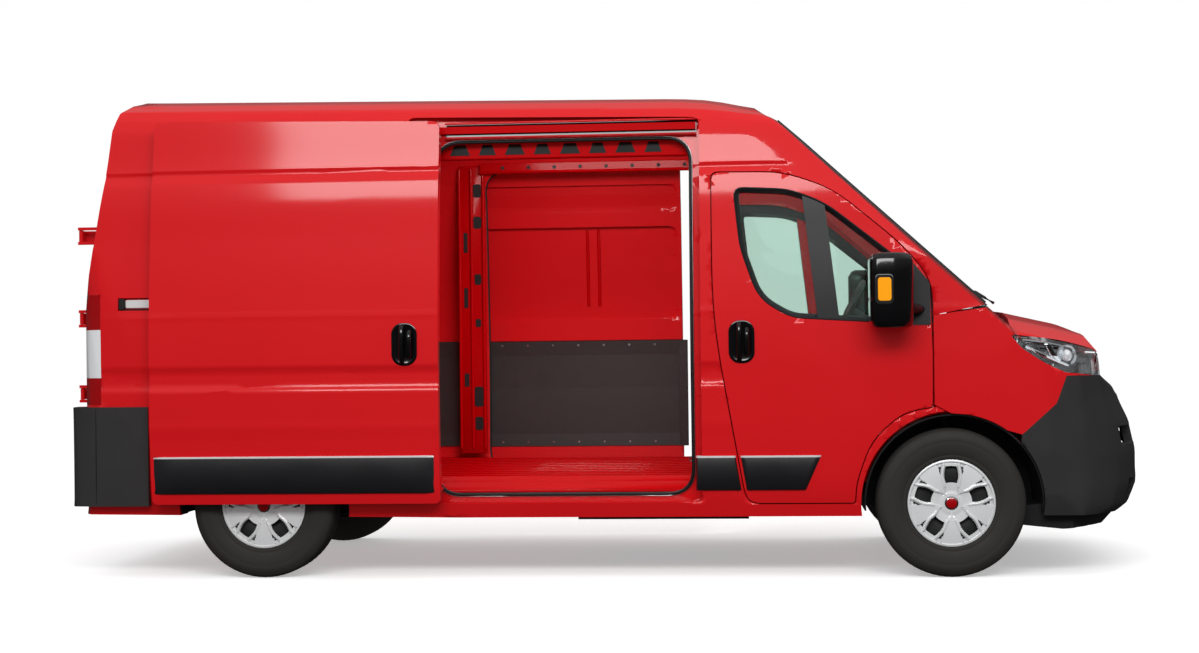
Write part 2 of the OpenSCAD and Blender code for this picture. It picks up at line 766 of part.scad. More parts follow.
// Roller arms from a sliding door to its three tracks
module roller_arms() {
    box([slide_front - 90, -hw + top_inset - slide_out + 10, top_track_z[0] + 5], [slide_front - 50,
        -top_track_y - run_gap,
        top_track_z[1] - 5]);
    box([slide_front - 20, -hw - slide_out + 40, step_z + 8], [slide_front - 4, -step_in - 40, step_z + 20]);
    box([slide_front - 20, -step_in - 66, step_z + run_gap], [slide_front - 4, -step_in - 40, step_z + 20]);
    box([slide_rear + 10, -hw - slide_out + 40, mid_track_z - 10],
        [slide_rear + 50, -hw + 26 - run_gap, mid_track_z + 10]);
}

// A sliding door drawn shut, then moved out and back by its travel
module slide_door(travel) translate([-travel, 0, 0]) {
    translate([0, -slide_out, 0]) difference() {
        intersection() {
            difference() {
                sides_form(0);
                sides_form(door_t);
            }
            xz(-far, -hw + 320, shaped(slide_points));
        }
        // pressed panels and the bed of the plywood on the inside
        for (p = inner_panels) inner_side(soft(rectangle(slide_rear + 60, p[0], slide_front - 28, p[1],
            50)), p[2]);
        inner_side(soft(rectangle(slide_rear + 30, ply_z[0], slide_front + 10, ply_z[1])), ply_depth);
        // room for the top track
        inner_side(soft(rectangle(slide_rear - 10, top_track_z[0] - 12, slide_front + 10,
            top_track_z[1] + 12)),
            door_t - track_in - 4);
    }
    roller_arms();
}

module slide_door_right() color("#d31f26") slide_door(right_travel);
module slide_door_left() color("#d31f26") on_left() slide_door(left_travel);

module slide_tracks() color("#8f9296") both_sides() {
    // top track in the rebate over the opening
    box([slide_rear + 12, -top_track_y, top_track_z[0]], [slide_front - 12, -top_track_y + 40,
        top_track_z[1]]);
    // middle track in its recess
    box([mid_track_rear + 1, -hw + 26, mid_track_z - mid_track_h / 2 + 8],
        [slide_rear, -hw + 38, mid_track_z + mid_track_h / 2 - 8]);
}

module side_mouldings() color("#2b2b2c") both_sides() intersection() {
    difference() {
        sides_form(-strip_t);
        sides_form(0);
    }
    xz(-far, 0, soft(rectangle(ap_front + 60, 425, door_rear - 4, 607)));
}

module linings() color("#3a302e") {
    both_sides() wall_ply();
    door_ply(right_travel);
    on_left() door_ply(left_travel);
}

module wall_ply() intersection() {
    difference() {
        load_form(wall_t);
        load_form(wall_t + lining_t);
    }
    xz(-far, 0, soft(rectangle(rx + 500, 560, ap_rear - 150, 1190)));
    box([-far, -far, 0], [far, -hw + 200, far]);
}

module door_ply(travel) translate([-travel, -slide_out, 0]) intersection() {
    difference() {
        sides_form(ply_depth);
        sides_form(ply_depth + lining_t);
    }
    xz(-far, 0, soft(rectangle(slide_rear + 34, ply_z[0] + 4, slide_front - 4, ply_z[1] - 4)));
}

// ---------------------------------------------------------------- wheels, axles and underside

module tyre(p) color("#1c1b1a") translate(p) rotate([90, 0, 0]) rotate_extrude($fn = 96)
    polygon(soft([[rim_d / 2, -tyre_w * 0.40, 6], [tyre_d / 2 - 60, -tyre_w / 2, 50], [tyre_d / 2 - 12,
        -tyre_w * 0.43, 24],
        [tyre_d / 2, -tyre_w * 0.3, 10], [tyre_d / 2, tyre_w * 0.3, 10], [tyre_d / 2 - 12, tyre_w * 0.43, 24],
        [tyre_d / 2 - 60, tyre_w / 2, 50], [rim_d / 2, tyre_w * 0.40, 6]]));

hub_r = 32;
knuckle_h = 110;
strut_r = 30;
strut_y = 700;
strut_top = wheel_z + sqrt(pow(liner_r, 2) - pow(arch_x - fx + strut_r, 2)) - run_gap;
beam_z = wheel_z - 80;
beam_r = 34;
module rim(p) color("#c3c6c9") translate(p) rotate([90, 0, 0]) difference() {
    union() {
        rotate_extrude($fn = 96) polygon([[rim_d / 2 - 14, -tyre_w * 0.38], [rim_d / 2, -tyre_w * 0.38],
            [rim_d / 2, tyre_w * 0.38], [rim_d / 2 - 14, tyre_w * 0.38]]);
        translate([0, 0, tyre_w * 0.2]) cylinder(r = rim_d / 2 - 10, h = 14);
        cylinder(r = 90, h = tyre_w * 0.2 + 1);
    }
    for (k = [0:4]) rotate(90 + 72 * k) translate([0, 0, -100]) linear_extrude(300)
        polygon([[105, -26], [180, -44], [180, 44], [105, 26]]);
    translate([0, 0, -20]) cylinder(r = hub_r + run_gap, h = 45);
}

front_right = [fx, -track_front / 2, wheel_z];
rear_right = [rx, -track_rear / 2, wheel_z];
function to_left(p) = [p[0], -p[1], p[2]];

module tyre_front_right() tyre(front_right);
module tyre_front_left() mirror([0, 1, 0]) tyre(front_right);
module tyre_rear_right() tyre(rear_right);
module tyre_rear_left() mirror([0, 1, 0]) tyre(rear_right);
module rim_front_right() rim(front_right);
module rim_front_left() mirror([0, 1, 0]) rim(front_right);
module rim_rear_right() rim(rear_right);
module rim_rear_left() mirror([0, 1, 0]) rim(rear_right);

module knuckle() color("#55585b") {
    translate([fx, -track_front / 2 - 20, wheel_z]) rotate([-90, 0, 0]) cylinder(r = hub_r, h = 120);
    difference() {
        translate([fx, -kingpin_y + 10, wheel_z]) rotate([-90, 0, 0]) cylinder(r = 55, h = 30);
        upright([fx, -kingpin_y, 0], 20, 80);
    }
    upright([fx, -kingpin_y + 25, wheel_z - knuckle_h], 28, 2 * knuckle_h);
    // pivots on the steering line
    for (z = [wheel_z - knuckle_h, wheel_z + knuckle_h - 20]) upright([fx, -kingpin_y, z], 10, 20);
}
module knuckle_right() knuckle();
module knuckle_left() mirror([0, 1, 0]) knuckle();

module front_suspension() color("#2f3133") {
    both_sides() {
        // strut on an arm over the knuckle
        box([fx - 40, -kingpin_y - 3, wheel_z + knuckle_h + run_gap], [fx + 40, -strut_y + 30,
            wheel_z + knuckle_h + 25]);
        upright([fx, -strut_y, wheel_z + knuckle_h + 1], strut_r, strut_top - wheel_z - knuckle_h - 1);
        // lower arm and the leg up to the rail
        box([fx - 45, -kingpin_y, wheel_z - knuckle_h - 40], [fx + 45, -410, wheel_z - knuckle_h - run_gap]);
        box([fx - 45, -rail_y[1], wheel_z - knuckle_h - 40], [fx + 45, -rail_y[0],
            rail_z - rail_h - run_gap]);
    }
    box([fx - 120, -420, wheel_z - 160], [fx + 120, 420, wheel_z - 100]);
}

module rear_axle() color("#2f3133") {
    across([rx, 0, beam_z], beam_r, track_rear - 180);
    both_sides() {
        translate([rx, -track_rear / 2 + 10, wheel_z]) rotate([-90, 0, 0]) cylinder(r = 90, h = 80);
        translate([rx, -track_rear / 2 - 20, wheel_z]) rotate([-90, 0, 0]) cylinder(r = hub_r, h = 60);
        // leaf spring with its two hangers
        box([rx - 650, -rail_y[1] + 10, beam_z + 30], [rx + 650, -rail_y[0] - 10, beam_z + 52]);
        for (x = [rx - 650, rx + 600]) box([x, -rail_y[1] + 10, beam_z + 30], [x + 50, -rail_y[0] - 10,
            rail_z - rail_h - run_gap]);
    }
}

engine_bed = rail_z - rail_h + 40;
module engine() color("#4a4b4d") box([bulk_x + 40, -380, engine_bed + run_gap], [nose_x - 190, 380, 950]);

module chassis_rails() color("#8f1418") {
    both_sides() box([tail_x + rail_from, -rail_y[1], rail_z - rail_h], [nose_x - 250, -rail_y[0], rail_z]);
    for (x = [tail_x + 100, rx + 700, fx - 900])
        box([x, -rail_y[0] - eps, rail_z - rail_h + 10], [x + 70, rail_y[0] + eps, rail_z]);
    // bed of the engine
    box([nose_x - 420, -rail_y[0] - eps, rail_z - rail_h], [nose_x - 350, rail_y[0] + eps, engine_bed]);
}

module exhaust() color("#7d7f80") {
    translate([fx - 800, 250, 300]) rotate([0, -90, 0]) cylinder(r = 30, h = 1500);
    translate([fx - 1300, 250, 300]) rotate([0, -90, 0]) cylinder(r = 100, h = 500);
    for (x = [fx - 1450, fx - 2200]) box([x, 240, 300], [x + 30, 260, rail_z - run_gap]);
}

module fuel_tank() color("#232323") box([fx - 1900, -430, 240], [fx - 1000, 60, rail_z - run_gap]);

module arch_liners() color("#151515") both_sides() {
    for (w = [[arch_x, liner_in_front], [rx, liner_in_rear]]) difference() {
        intersection() {
            liner_drum(w[0], w[1], liner_t);
            box([-far, -far, sill_height + 20], [far, 0, far]);
            sides_form(14);
        }
        liner_drum(w[0], w[1], 0);
        box([-far, -far, 0], [far, -w[1] - 14, wheel_z - 40]);
    }
}

// ---------------------------------------------------------------- cab

module seat(x, y, w) translate([x, y, 0]) {
    xz(-w / 2, w / 2, soft([[0, 830, 40], [520, 850, 60], [520, 960, 60], [60, 960, 30], [-60, 1540, 30],
        [-170, 1540, 30], [-110, 860, 40]]));
    box([20, -w / 2 + 60, floor_height], [440, w / 2 - 60, 835]);
}
module seats() color("#2a2b2e") {
    seat(fx - 960, 480, 500);
    seat(fx - 960, -330, 860);
}

module dashboard() color("#3c3d40") {
    xz(-hw + 190, hw - 190, soft([[fx - 150, 1000, 40], [bulk_x, 900, 0], [bulk_x, 1168, 0],
        [fx + 100, 1240, 30], [fx - 120, 1265, 60], [fx - 190, 1180, 40]]));
    // steering column
    translate(wheel_centre) rotate([0, column_tilt + 90, 0]) translate([0, 0,
        20 + run_gap]) cylinder(r = 38, h = 330);
}

module steering_wheel() color("#202124") translate(wheel_centre) rotate([0, column_tilt + 90, 0]) {
    rotate_extrude() translate([190, 0]) circle(r = 16);
    for (a = [0, 120, 240]) rotate(a) translate([20, -18, -6]) cube([160, 36, 12]);
    cylinder(r = 60, h = 40, center = true);
}

// ---------------------------------------------------------------- every node

floor_pan();
load_floor();
wheel_boxes();
side_wall_right();
side_wall_left();
roof();
scuttle();
wings();
bonnet();
front_bumper();
rear_bumper();
headlamps();
tail_lamps();
windscreen();
hinge_pins();
arch_liners();
chassis_rails();
engine();
front_suspension();
rear_axle();
exhaust();
fuel_tank();
knuckle_right();
knuckle_left();
rim_front_right();
rim_front_left();
rim_rear_right();
rim_rear_left();
tyre_front_right();
tyre_front_left();
tyre_rear_right();
tyre_rear_left();
cab_door_right();
cab_door_left();
door_glass_right();
door_glass_left();
mirror_right();
mirror_left();
slide_door_right();
slide_door_left();
slide_tracks();
side_mouldings();
rear_door_right();
rear_door_left();
linings();
seats();
dashboard();
steering_wheel();
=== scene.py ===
"""Panel van: the looks of the part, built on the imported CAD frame."""
import logging
import math
from dataclasses import dataclass, field
from enum import Enum
from typing import Callable, Iterable, Sequence

import bmesh
import bpy
import numpy as np
from mathutils import Matrix, Vector


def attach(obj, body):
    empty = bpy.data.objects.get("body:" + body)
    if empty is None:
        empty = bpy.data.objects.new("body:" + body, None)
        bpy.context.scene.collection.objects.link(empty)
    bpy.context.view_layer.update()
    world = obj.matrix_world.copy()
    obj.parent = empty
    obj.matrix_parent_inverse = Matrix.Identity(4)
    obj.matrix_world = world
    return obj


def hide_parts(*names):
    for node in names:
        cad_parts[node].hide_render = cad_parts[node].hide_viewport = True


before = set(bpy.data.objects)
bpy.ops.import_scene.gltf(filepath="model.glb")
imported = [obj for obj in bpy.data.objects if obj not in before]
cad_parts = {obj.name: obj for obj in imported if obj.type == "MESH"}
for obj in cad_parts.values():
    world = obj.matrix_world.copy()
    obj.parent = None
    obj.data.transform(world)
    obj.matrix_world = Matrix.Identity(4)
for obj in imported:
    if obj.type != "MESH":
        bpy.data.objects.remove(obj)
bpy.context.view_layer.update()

LOG = logging.getLogger("van")
# Corners nearer than this are one corner, in metres
SAME_CORNER = 1e-6
# The same for a CAD node, whose faces meet less exactly
SAME_CAD_CORNER = 2e-5
# A corner nearer to a cutting plane than this lies on it
ON_PLANE = 1e-5
Point = tuple[float, float, float]
Outline = list[tuple[float, float]]


class Side(Enum):
    """The side of the van, as the sign of its Y."""

    RIGHT = -1.0
    LEFT = 1.0

    @property
    def word(self) -> str:
        """The side's name as the CAD nodes spell it."""
        return self.name.lower()


# ------------------------------------------------------------------ finishes


def linear(hex_code: str, alpha: float = 1.0) -> tuple[float, float, float, float]:
    """Turns an sRGB hex colour into linear values.

    Args:
        hex_code: Six hex digits.
        alpha: The fourth value.

    Returns:
        Linear red, green, blue and alpha.
    """
    values = [int(hex_code[i : i + 2], 16) / 255 for i in (0, 2, 4)]
    r, g, b = (v / 12.92 if v <= 0.04045 else ((v + 0.055) / 1.055) ** 2.4 for v in values)
    return (r, g, b, alpha)


def add(tree: bpy.types.NodeTree, kind: str, links: dict | None = None, **settings) -> bpy.types.Node:
    """Adds a node with its settings and links.

    Args:
        tree: The node tree.
        kind: The node's Blender type.
        links: Input name or number, to a socket or a constant.
        settings: Attributes of the node.

    Returns:
        The node.
    """
    node = tree.nodes.new(kind)
    for name, value in settings.items():
        setattr(node, name, value)
    for name, value in (links or {}).items():
        if isinstance(value, bpy.types.NodeSocket):
            tree.links.new(value, node.inputs[name])
        else:
            node.inputs[name].default_value = value
    return node


@dataclass(frozen=True)
class Finish:
    """One real finish: a base, and a grain that breaks up its gloss and its surface."""

    name: str
    colour: str
    roughness: float = 0.5
    metallic: float = 0.0
    ior: float = 1.5
    coat: float = 0.0
    coat_roughness: float = 0.03
    transmission: float = 0.0
    grain_mm: float = 2.0
    grain_depth_mm: float = 0.0
    tone: str = ""
    tone_mm: float = 300.0
    rough_spread: float = 0.06
    sheen: float = 0.0
    emission: float = 0.0
    weave: bool = False

    def make(self) -> bpy.types.Material:
        """Builds the material, once.

        Returns:
            The Blender material.
        """
        known = bpy.data.materials.get(self.name)
        if known:
            return known
        mat = bpy.data.materials.new(self.name)
        mat.use_nodes = True
        mat.diffuse_color = linear(self.colour)
        tree = mat.node_tree
        shader = tree.nodes["Principled BSDF"]
        plain = {
            "Base Color": linear(self.colour), "Metallic": self.metallic, "IOR": self.ior,
            "Coat Weight": self.coat, "Coat Roughness": self.coat_roughness,
            "Transmission Weight": self.transmission, "Sheen Weight": self.sheen,
        }
        for key, value in plain.items():
            shader.inputs[key].default_value = value
        if self.emission:
            shader.inputs["Emission Color"].default_value = linear(self.colour)
            shader.inputs["Emission Strength"].default_value = self.emission
        place = add(tree, "ShaderNodeTexCoord")
        broad = add(tree, "ShaderNodeTexNoise", {"Vector": place.outputs["Object"],
                    "Scale": 1000 / self.tone_mm, "Detail": 3.0, "Roughness": 0.6})
        if self.tone:
            mixed = add(tree, "ShaderNodeMix", {"Factor": broad.outputs["Fac"]}, data_type="RGBA")
            mixed.inputs[6].default_value = linear(self.colour)
            mixed.inputs[7].default_value = linear(self.tone)
            tree.links.new(mixed.outputs[2], shader.inputs["Base Color"])
        spread = add(tree, "ShaderNodeMapRange",
                     {"Value": broad.outputs["Fac"], "From Min": 0.3, "From Max": 0.7,
                     "To Min": max(0.01, self.roughness - self.rough_spread),
                     "To Max": self.roughness + self.rough_spread})
        tree.links.new(spread.outputs["Result"], shader.inputs["Roughness"])
        if self.grain_depth_mm:
            if self.weave:
                grain = add(tree, "ShaderNodeTexWave", {"Vector": place.outputs["Object"],
                            "Scale": 1000 / self.grain_mm / 6.3, "Distortion": 1.5, "Detail": 2.0},
                            bands_direction="DIAGONAL")
            else:
                grain = add(tree, "ShaderNodeTexNoise", {"Vector": place.outputs["Object"],
                            "Scale": 1000 / self.grain_mm, "Detail": 4.0})
            bump = add(tree, "ShaderNodeBump", {"Height": grain.outputs["Fac"], "Strength": 1.0,
                       "Distance": self.grain_depth_mm / 1000})
            tree.links.new(bump.outputs["Normal"], shader.inputs["Normal"])
        return mat


# Baked two-layer solvent red under clear lacquer: soft body colour, sharp reflection, faint orange peel
PAINT = Finish("red_lacquered_steel", "D01219", 0.42, ior=1.18, coat=0.8, coat_roughness=0.10, grain_mm=9,
               grain_depth_mm=0.012,
               tone="D6151B", tone_mm=700, rough_spread=0.03)
# The same red without the final polish, inside the body
INNER_PAINT = Finish("red_primer_lacquer_inside", "C20208", 0.36, ior=1.12, coat=0.2, coat_roughness=0.12,
                     grain_mm=6,
                     grain_depth_mm=0.02, tone="B40107", tone_mm=400)
# Unpainted moulded polypropylene: dark, with a fine spark-eroded grain
BUMPER = Finish("grained_black_polypropylene", "2B292A", 0.52, grain_mm=1.6, grain_depth_mm=0.10,
                tone="302E2F", tone_mm=250)
TRIM = Finish("moulded_black_plastic", "17171A", 0.42, grain_mm=1.2, grain_depth_mm=0.05, tone="1D1D20")
# Glossy black moulding; the same black also lines the top track's slot as painted shade.
GLOSS_BLACK_AND_SHADE = Finish("piano_black_moulding", "0B0B0D", 0.14, coat=0.5, grain_mm=12, grain_depth_mm=0.01,
                     rough_spread=0.03)
# Carbon-filled rubber: no gloss, dusty on the flank
TYRE = Finish("tyre_rubber", "242220", 0.72, grain_mm=2.5, grain_depth_mm=0.15, tone="2C2925", tone_mm=90)
# Black foam rubber of the seals and joints; the same black also fills the holes in the far pillar and the
# roof rails as painted shade.
SEAL_AND_SHADE = Finish("foam_rubber_seal", "0E0E0F", 0.6, grain_mm=2, grain_depth_mm=0.05)
# Silver paint of the wheel covers; the same pale finish also makes painted highlights along the tops of the
# door mouldings and a painted reflection on the middle track's bar.
SILVER_COVER_AND_HIGHLIGHT = Finish("silver_painted_wheel_cover", "E4E5E6", 0.30, metallic=0.12, coat=0.4, grain_mm=3,
               grain_depth_mm=0.01,
               tone="DCDDDE", tone_mm=60)
# Bright zinc steel of screws, posts, striker and exhaust; the same finish also draws the bright line along
# each opening seal as a painted highlight.
STEEL_AND_HIGHLIGHT = Finish("bright_zinc_steel", "A9ABAE", 0.34, metallic=1.0, grain_mm=1.5, grain_depth_mm=0.02)
CHASSIS = Finish("black_chassis_coating", "1A1B1D", 0.55, grain_mm=3, grain_depth_mm=0.1, tone="242424")
CAST = Finish("rough_cast_iron", "3A3A3B", 0.62, metallic=0.6, grain_mm=2, grain_depth_mm=0.25, tone="2E2C2A",
              tone_mm=60)
PLY = Finish("phenolic_faced_birch_ply", "272020", 0.50, grain_mm=3.2, grain_depth_mm=0.18, tone="2E2625",
             tone_mm=35)
GLASS = Finish("green_tinted_float_glass", "D6E9E1", 0.02, transmission=1.0, ior=1.45, rough_spread=0.01)
LENS = Finish("clear_polycarbonate", "F2F6F8", 0.03, transmission=1.0, ior=1.5, rough_spread=0.01)
RED_LENS = Finish("red_acrylic_lens", "A1060C", 0.12, coat=1.0, grain_mm=6, grain_depth_mm=0.2)
WHITE_LENS = Finish("frosted_clear_lens", "E9EAEC", 0.16, coat=1.0, grain_mm=5, grain_depth_mm=0.2)
AMBER = Finish("amber_acrylic", "F09A10", 0.15, coat=0.8, emission=0.25, grain_mm=4, grain_depth_mm=0.2)
CHROME = Finish("vacuum_plated_chrome", "D9DBDE", 0.08, metallic=1.0, rough_spread=0.03)
CLOTH = Finish("woven_polyester_upholstery", "24262B", 0.85, sheen=0.3, grain_mm=2.6, grain_depth_mm=0.25,
               tone="2E3138",
               tone_mm=40, weave=True)
DASH = Finish("grained_dashboard_plastic", "2A2B2F", 0.6, grain_mm=1.8, grain_depth_mm=0.08, tone="303136")


# ------------------------------------------------------------------ meshes


def piece(name: str, verts: Sequence, faces: Sequence, finish: Finish, body: str, slot: str = "",
          smooth_deg: float = 35.0) -> bpy.types.Object:
    """Makes an object at the origin from plain lists, dressed and riding on its body.

    Args:
        name: The piece's name.
        verts: Points in metres.
        faces: Corner numbers.
        finish: Its finish.
        body: The CAD body that carries it.
        slot: The record's material slot; not used.
        smooth_deg: Edges sharper than this stay crisp.

    Returns:
        The object.
    """
    mesh = bpy.data.meshes.new(name)
    mesh.from_pydata([tuple(v) for v in verts], [], [tuple(f) for f in faces])
    return finish_piece(name, mesh, finish, body, smooth_deg)


def finish_piece(name: str, mesh: bpy.types.Mesh, finish: Finish, body: str,
                 smooth_deg: float = 35.0, turn: bool = True) -> bpy.types.Object:
    """Links a mesh as a piece with outward faces, smooth shading, a finish and a body.

    Args:
        name: The piece's name.
        mesh: Its mesh.
        finish: Its finish.
        body: The CAD body that carries it.
        smooth_deg: Edges sharper than this stay crisp.
        turn: Whether the faces are turned outwards.

    Returns:
        The object.
    """
    if turn:
        work = bmesh.new()
        work.from_mesh(mesh)
        bmesh.ops.remove_doubles(work, verts=work.verts, dist=SAME_CORNER)
        bmesh.ops.recalc_face_normals(work, faces=work.faces)
        work.to_mesh(mesh)
        work.free()
    mesh.polygons.foreach_set("use_smooth", [True] * len(mesh.polygons))
    mesh.set_sharp_from_angle(angle=math.radians(smooth_deg))
    thing = bpy.data.objects.new(name, mesh)
    bpy.context.scene.collection.objects.link(thing)
    if not mesh.materials:
        mesh.materials.append(finish.make())
    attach(thing, body)
    LOG.info("%s: %d faces on %s", name, len(mesh.polygons), body)
    return thing


def join_lists(parts: Iterable[tuple[list, list]]) -> tuple[list, list]:
    """Joins several (points, faces) pairs into one.

    Args:
        parts: The pairs.

    Returns:
        All points and all faces.
    """
    verts: list = []
    faces: list = []
    for v, f in parts:
        base = len(verts)
        verts.extend(v)
        faces.extend([tuple(i + base for i in one) for one in f])
    return verts, faces


def loft_faces(corners: int, rows: int, ends: bool = True) -> list[tuple[int, ...]]:
    """The faces of a body made of closed rings, one ring after the other.

    Args:
        corners: Corners of each ring.
        rows: How many rows of faces lie between the rings.
        ends: Whether the first and last rings are filled.

    Returns:
        Corner numbers of each face.
    """
    n = corners
    faces: list[tuple[int, ...]] = [
        (i + j * n, (i + 1) % n + j * n, (i + 1) % n + (j + 1) * n, i + (j + 1) * n) for j in range(rows)
        for i in range(n)]
    if ends:
        faces += [tuple(range(n)), tuple(rows * n + i for i in range(n))]
    return faces


def hoop_faces(corners: int, rings: int) -> list[tuple[int, ...]]:
    """The faces of a frame whose last ring meets its first.

    Args:
        corners: Corners of each ring.
        rings: How many rings go round its section.

    Returns:
        Corner numbers of each face.
    """
    n, k = corners, rings
    return [(i + j * n, (i + 1) % n + j * n, (i + 1) % n + ((j + 1) % k) * n, i + ((j + 1) % k) * n)
            for j in range(k) for i in range(n)]


def sheet_faces(columns: int, rows: int) -> list[tuple[int, ...]]:
    """The faces of an open sheet of rows of corners.

    Args:
        columns: Corners in each row.
        rows: How many rows of corners.

    Returns:
        Corner numbers of each face.
    """
    m = columns
    return [(r * m + k, r * m + k + 1, (r + 1) * m + k + 1, (r + 1) * m + k) for r in range(rows - 1)
            for k in range(m - 1)]


def evaluated_mesh(host: bpy.types.Object, name: str) -> bpy.types.Mesh:
    """The plain mesh that an object's modifiers make. The object is removed.

    Args:
        host: The object with its modifiers.
        name: The new mesh's name.

    Returns:
        The mesh.
    """
    mesh = bpy.data.meshes.new_from_object(host.evaluated_get(bpy.context.evaluated_depsgraph_get()))
    bpy.data.objects.remove(host)
    mesh.name = name
    return mesh


def cut(work: bmesh.types.BMesh, point: Point | Vector, normal: Point | Vector,
        clear_outer: bool = False) -> dict:
    """Cuts a mesh along a plane.

    Args:
        work: The mesh.
        point: A point of the plane.
        normal: The plane's direction.
        clear_outer: Whether the side that the normal points to is removed.

    Returns:
        What the cut made, as the mesh library gives it.
    """
    geom = work.verts[:] + work.edges[:] + work.faces[:]
    return bmesh.ops.bisect_plane(work, geom=geom, dist=ON_PLANE, plane_co=point, plane_no=normal,
                                  clear_outer=clear_outer)


def tube(path: Sequence[Point], radius: float, closed: bool = False, sides: int = 8,
         flat: float = 1.0) -> tuple[list, list]:
    """A round bar along a path.

    Args:
        path: Points in metres.
        radius: Half its thickness.
        closed: Whether the ends meet.
        sides: Corners round the bar.
        flat: Scale of its second direction.

    Returns:
        Points and faces.
    """
    pts = [Vector(p) for p in path]
    n = len(pts)
    verts: list = []
    faces: list = []
    up = Vector((0, 1, 0))
    for i, p in enumerate(pts):
        a = pts[i - 1] if (i or closed) else p
        b = pts[(i + 1) % n] if (i < n - 1 or closed) else p
        along = (b - a).normalized()
        if abs(along.dot(up)) > 0.9:
            up = Vector((0, 0, 1))
        u = along.cross(up).normalized()
        w = along.cross(u).normalized()
        for k in range(sides):
            t = 2 * math.pi * k / sides
            verts.append(p + radius * (math.cos(t) * u + flat * math.sin(t) * w))
    for i in range(n if closed else n - 1):
        j = (i + 1) % n
        for k in range(sides):
            m = (k + 1) % sides
            faces.append((i * sides + k, i * sides + m, j * sides + m, j * sides + k))
    if not closed:
        faces.append(tuple(range(sides)))
        faces.append(tuple((n - 1) * sides + k for k in reversed(range(sides))))
    return verts, faces


def lathe(profile: Sequence[tuple[float, float]], centre: Point, steps: int = 96,
          out: float = -1.0) -> tuple[list, list]:
    """A solid of revolution about an axis along Y.

    Args:
        profile: Closed loop of (radius, distance outwards).
        centre: The middle of the axis.
        steps: Divisions round it.
        out: Sign of Y that points outwards.

    Returns:
        Points and faces.
    """
    verts = []
    n = len(profile)
    for k in range(steps):
        t = 2 * math.pi * k / steps
        for r, d in profile:
            verts.append((centre[0] + r * math.cos(t), centre[1] + out * d, centre[2] + r * math.sin(t)))
    faces = [(k * n + i, k * n + (i + 1) % n, ((k + 1) % steps) * n + (i + 1) % n, ((k + 1) % steps) * n + i)
             for k in range(steps) for i in range(n)]
    return verts, faces


def prism(outline: Outline, low: float, high: float, bevel: float = 0.0) -> tuple[list, list]:
    """A plate with an (x, z) outline between two values of y, its edges eased.

    Args:
        outline: Corner points in order.
        low: First y.
        high: Second y.
        bevel: Width of the eased edge at both faces.

    Returns:
        Points and faces.
    """
    n = len(outline)
    inner = shrink(outline, bevel) if bevel else outline
    step = math.copysign(bevel, high - low)
    layers = [(inner, low), (outline, low + step), (outline, high - step), (inner, high)] if bevel else [
        (outline, low), (outline, high)]
    verts = [(x, y, z) for ring, y in layers for x, z in ring]
    return verts, loft_faces(n, len(layers) - 1)


def shrink(outline: Outline, by: float) -> Outline:
    """Moves an outline inwards, whichever way it turns.

    Args:
        outline: Corner points.
        by: Distance in metres.

    Returns:
        The smaller outline.
    """
    pts = np.array(outline, float)
    area = 0.5 * np.sum(pts[:, 0] * np.roll(pts[:, 1], -1) - np.roll(pts[:, 0], -1) * pts[:, 1])
    before = pts - np.roll(pts, 1, 0)
    after = np.roll(pts, -1, 0) - pts
    nb = np.stack([-before[:, 1], before[:, 0]],
                  1) / np.maximum(np.linalg.norm(before, axis=1, keepdims=True), 1e-9)
    na = np.stack([-after[:, 1], after[:, 0]], 1) / np.maximum(np.linalg.norm(after, axis=1, keepdims=True),
                                                               1e-9)
    mid = nb + na
    mid /= np.maximum(np.linalg.norm(mid, axis=1, keepdims=True), 1e-9)
    scale = by / np.maximum(np.sum(mid * na, 1), 0.4)
    return [tuple(p) for p in pts + math.copysign(1, area) * mid * scale[:, None]]


def rounded(x0: float, z0: float, x1: float, z1: float, r: float, steps: int = 6) -> Outline:
    """A rectangle with round corners.

    Args:
        x0: Low x.
        z0: Low z.
        x1: High x.
        z1: High z.
        r: Corner radius.
        steps: Divisions of each corner.

    Returns:
        Its outline, anticlockwise.
    """
    out = []
    for cx, cz, start in ((x1 - r, z0 + r, -90), (x1 - r, z1 - r, 0), (x0 + r, z1 - r, 90),
                          (x0 + r, z0 + r, 180)):
        for k in range(steps + 1):
            t = math.radians(start + 90 * k / steps)
            out.append((cx + r * math.cos(t), cz + r * math.sin(t)))
    return out


def eased(points: Sequence[tuple[float, float, float]], steps: int = 6) -> Outline:
    """An outline whose corners are curves.

    Args:
        points: (x, z, reach) of each corner.
        steps: Divisions of each corner.

    Returns:
        The outline.
    """
    out: Outline = []
    n = len(points)
    for i, (x, z, r) in enumerate(points):
        b = Vector((x, z))
        if not r:
            out.append((x, z))
            continue
        a, c = Vector(points[i - 1][:2]), Vector(points[(i + 1) % n][:2])
        s = b + (a - b).normalized() * min(r, (a - b).length * 0.45)
        e = b + (c - b).normalized() * min(r, (c - b).length * 0.45)
        for k in range(steps + 1):
            t = k / steps
            out.append(tuple((1 - t) ** 2 * s + 2 * t * (1 - t) * b + t * t * e))
    return out


def densify(outline: Outline, step: float) -> Outline:
    """Adds points so that no stretch of a closed outline is longer than step.

    Args:
        outline: Corner points.
        step: Longest stretch in metres.

    Returns:
        The finer outline.
    """
    out: Outline = []
    for i, p in enumerate(outline):
        q = outline[(i + 1) % len(outline)]
        n = max(1, int(math.hypot(q[0] - p[0], q[1] - p[1]) / step))
        out += [(p[0] + (q[0] - p[0]) * k / n, p[1] + (q[1] - p[1]) * k / n) for k in range(n)]
    return out


# ------------------------------------------------------------------ the van's own surfaces


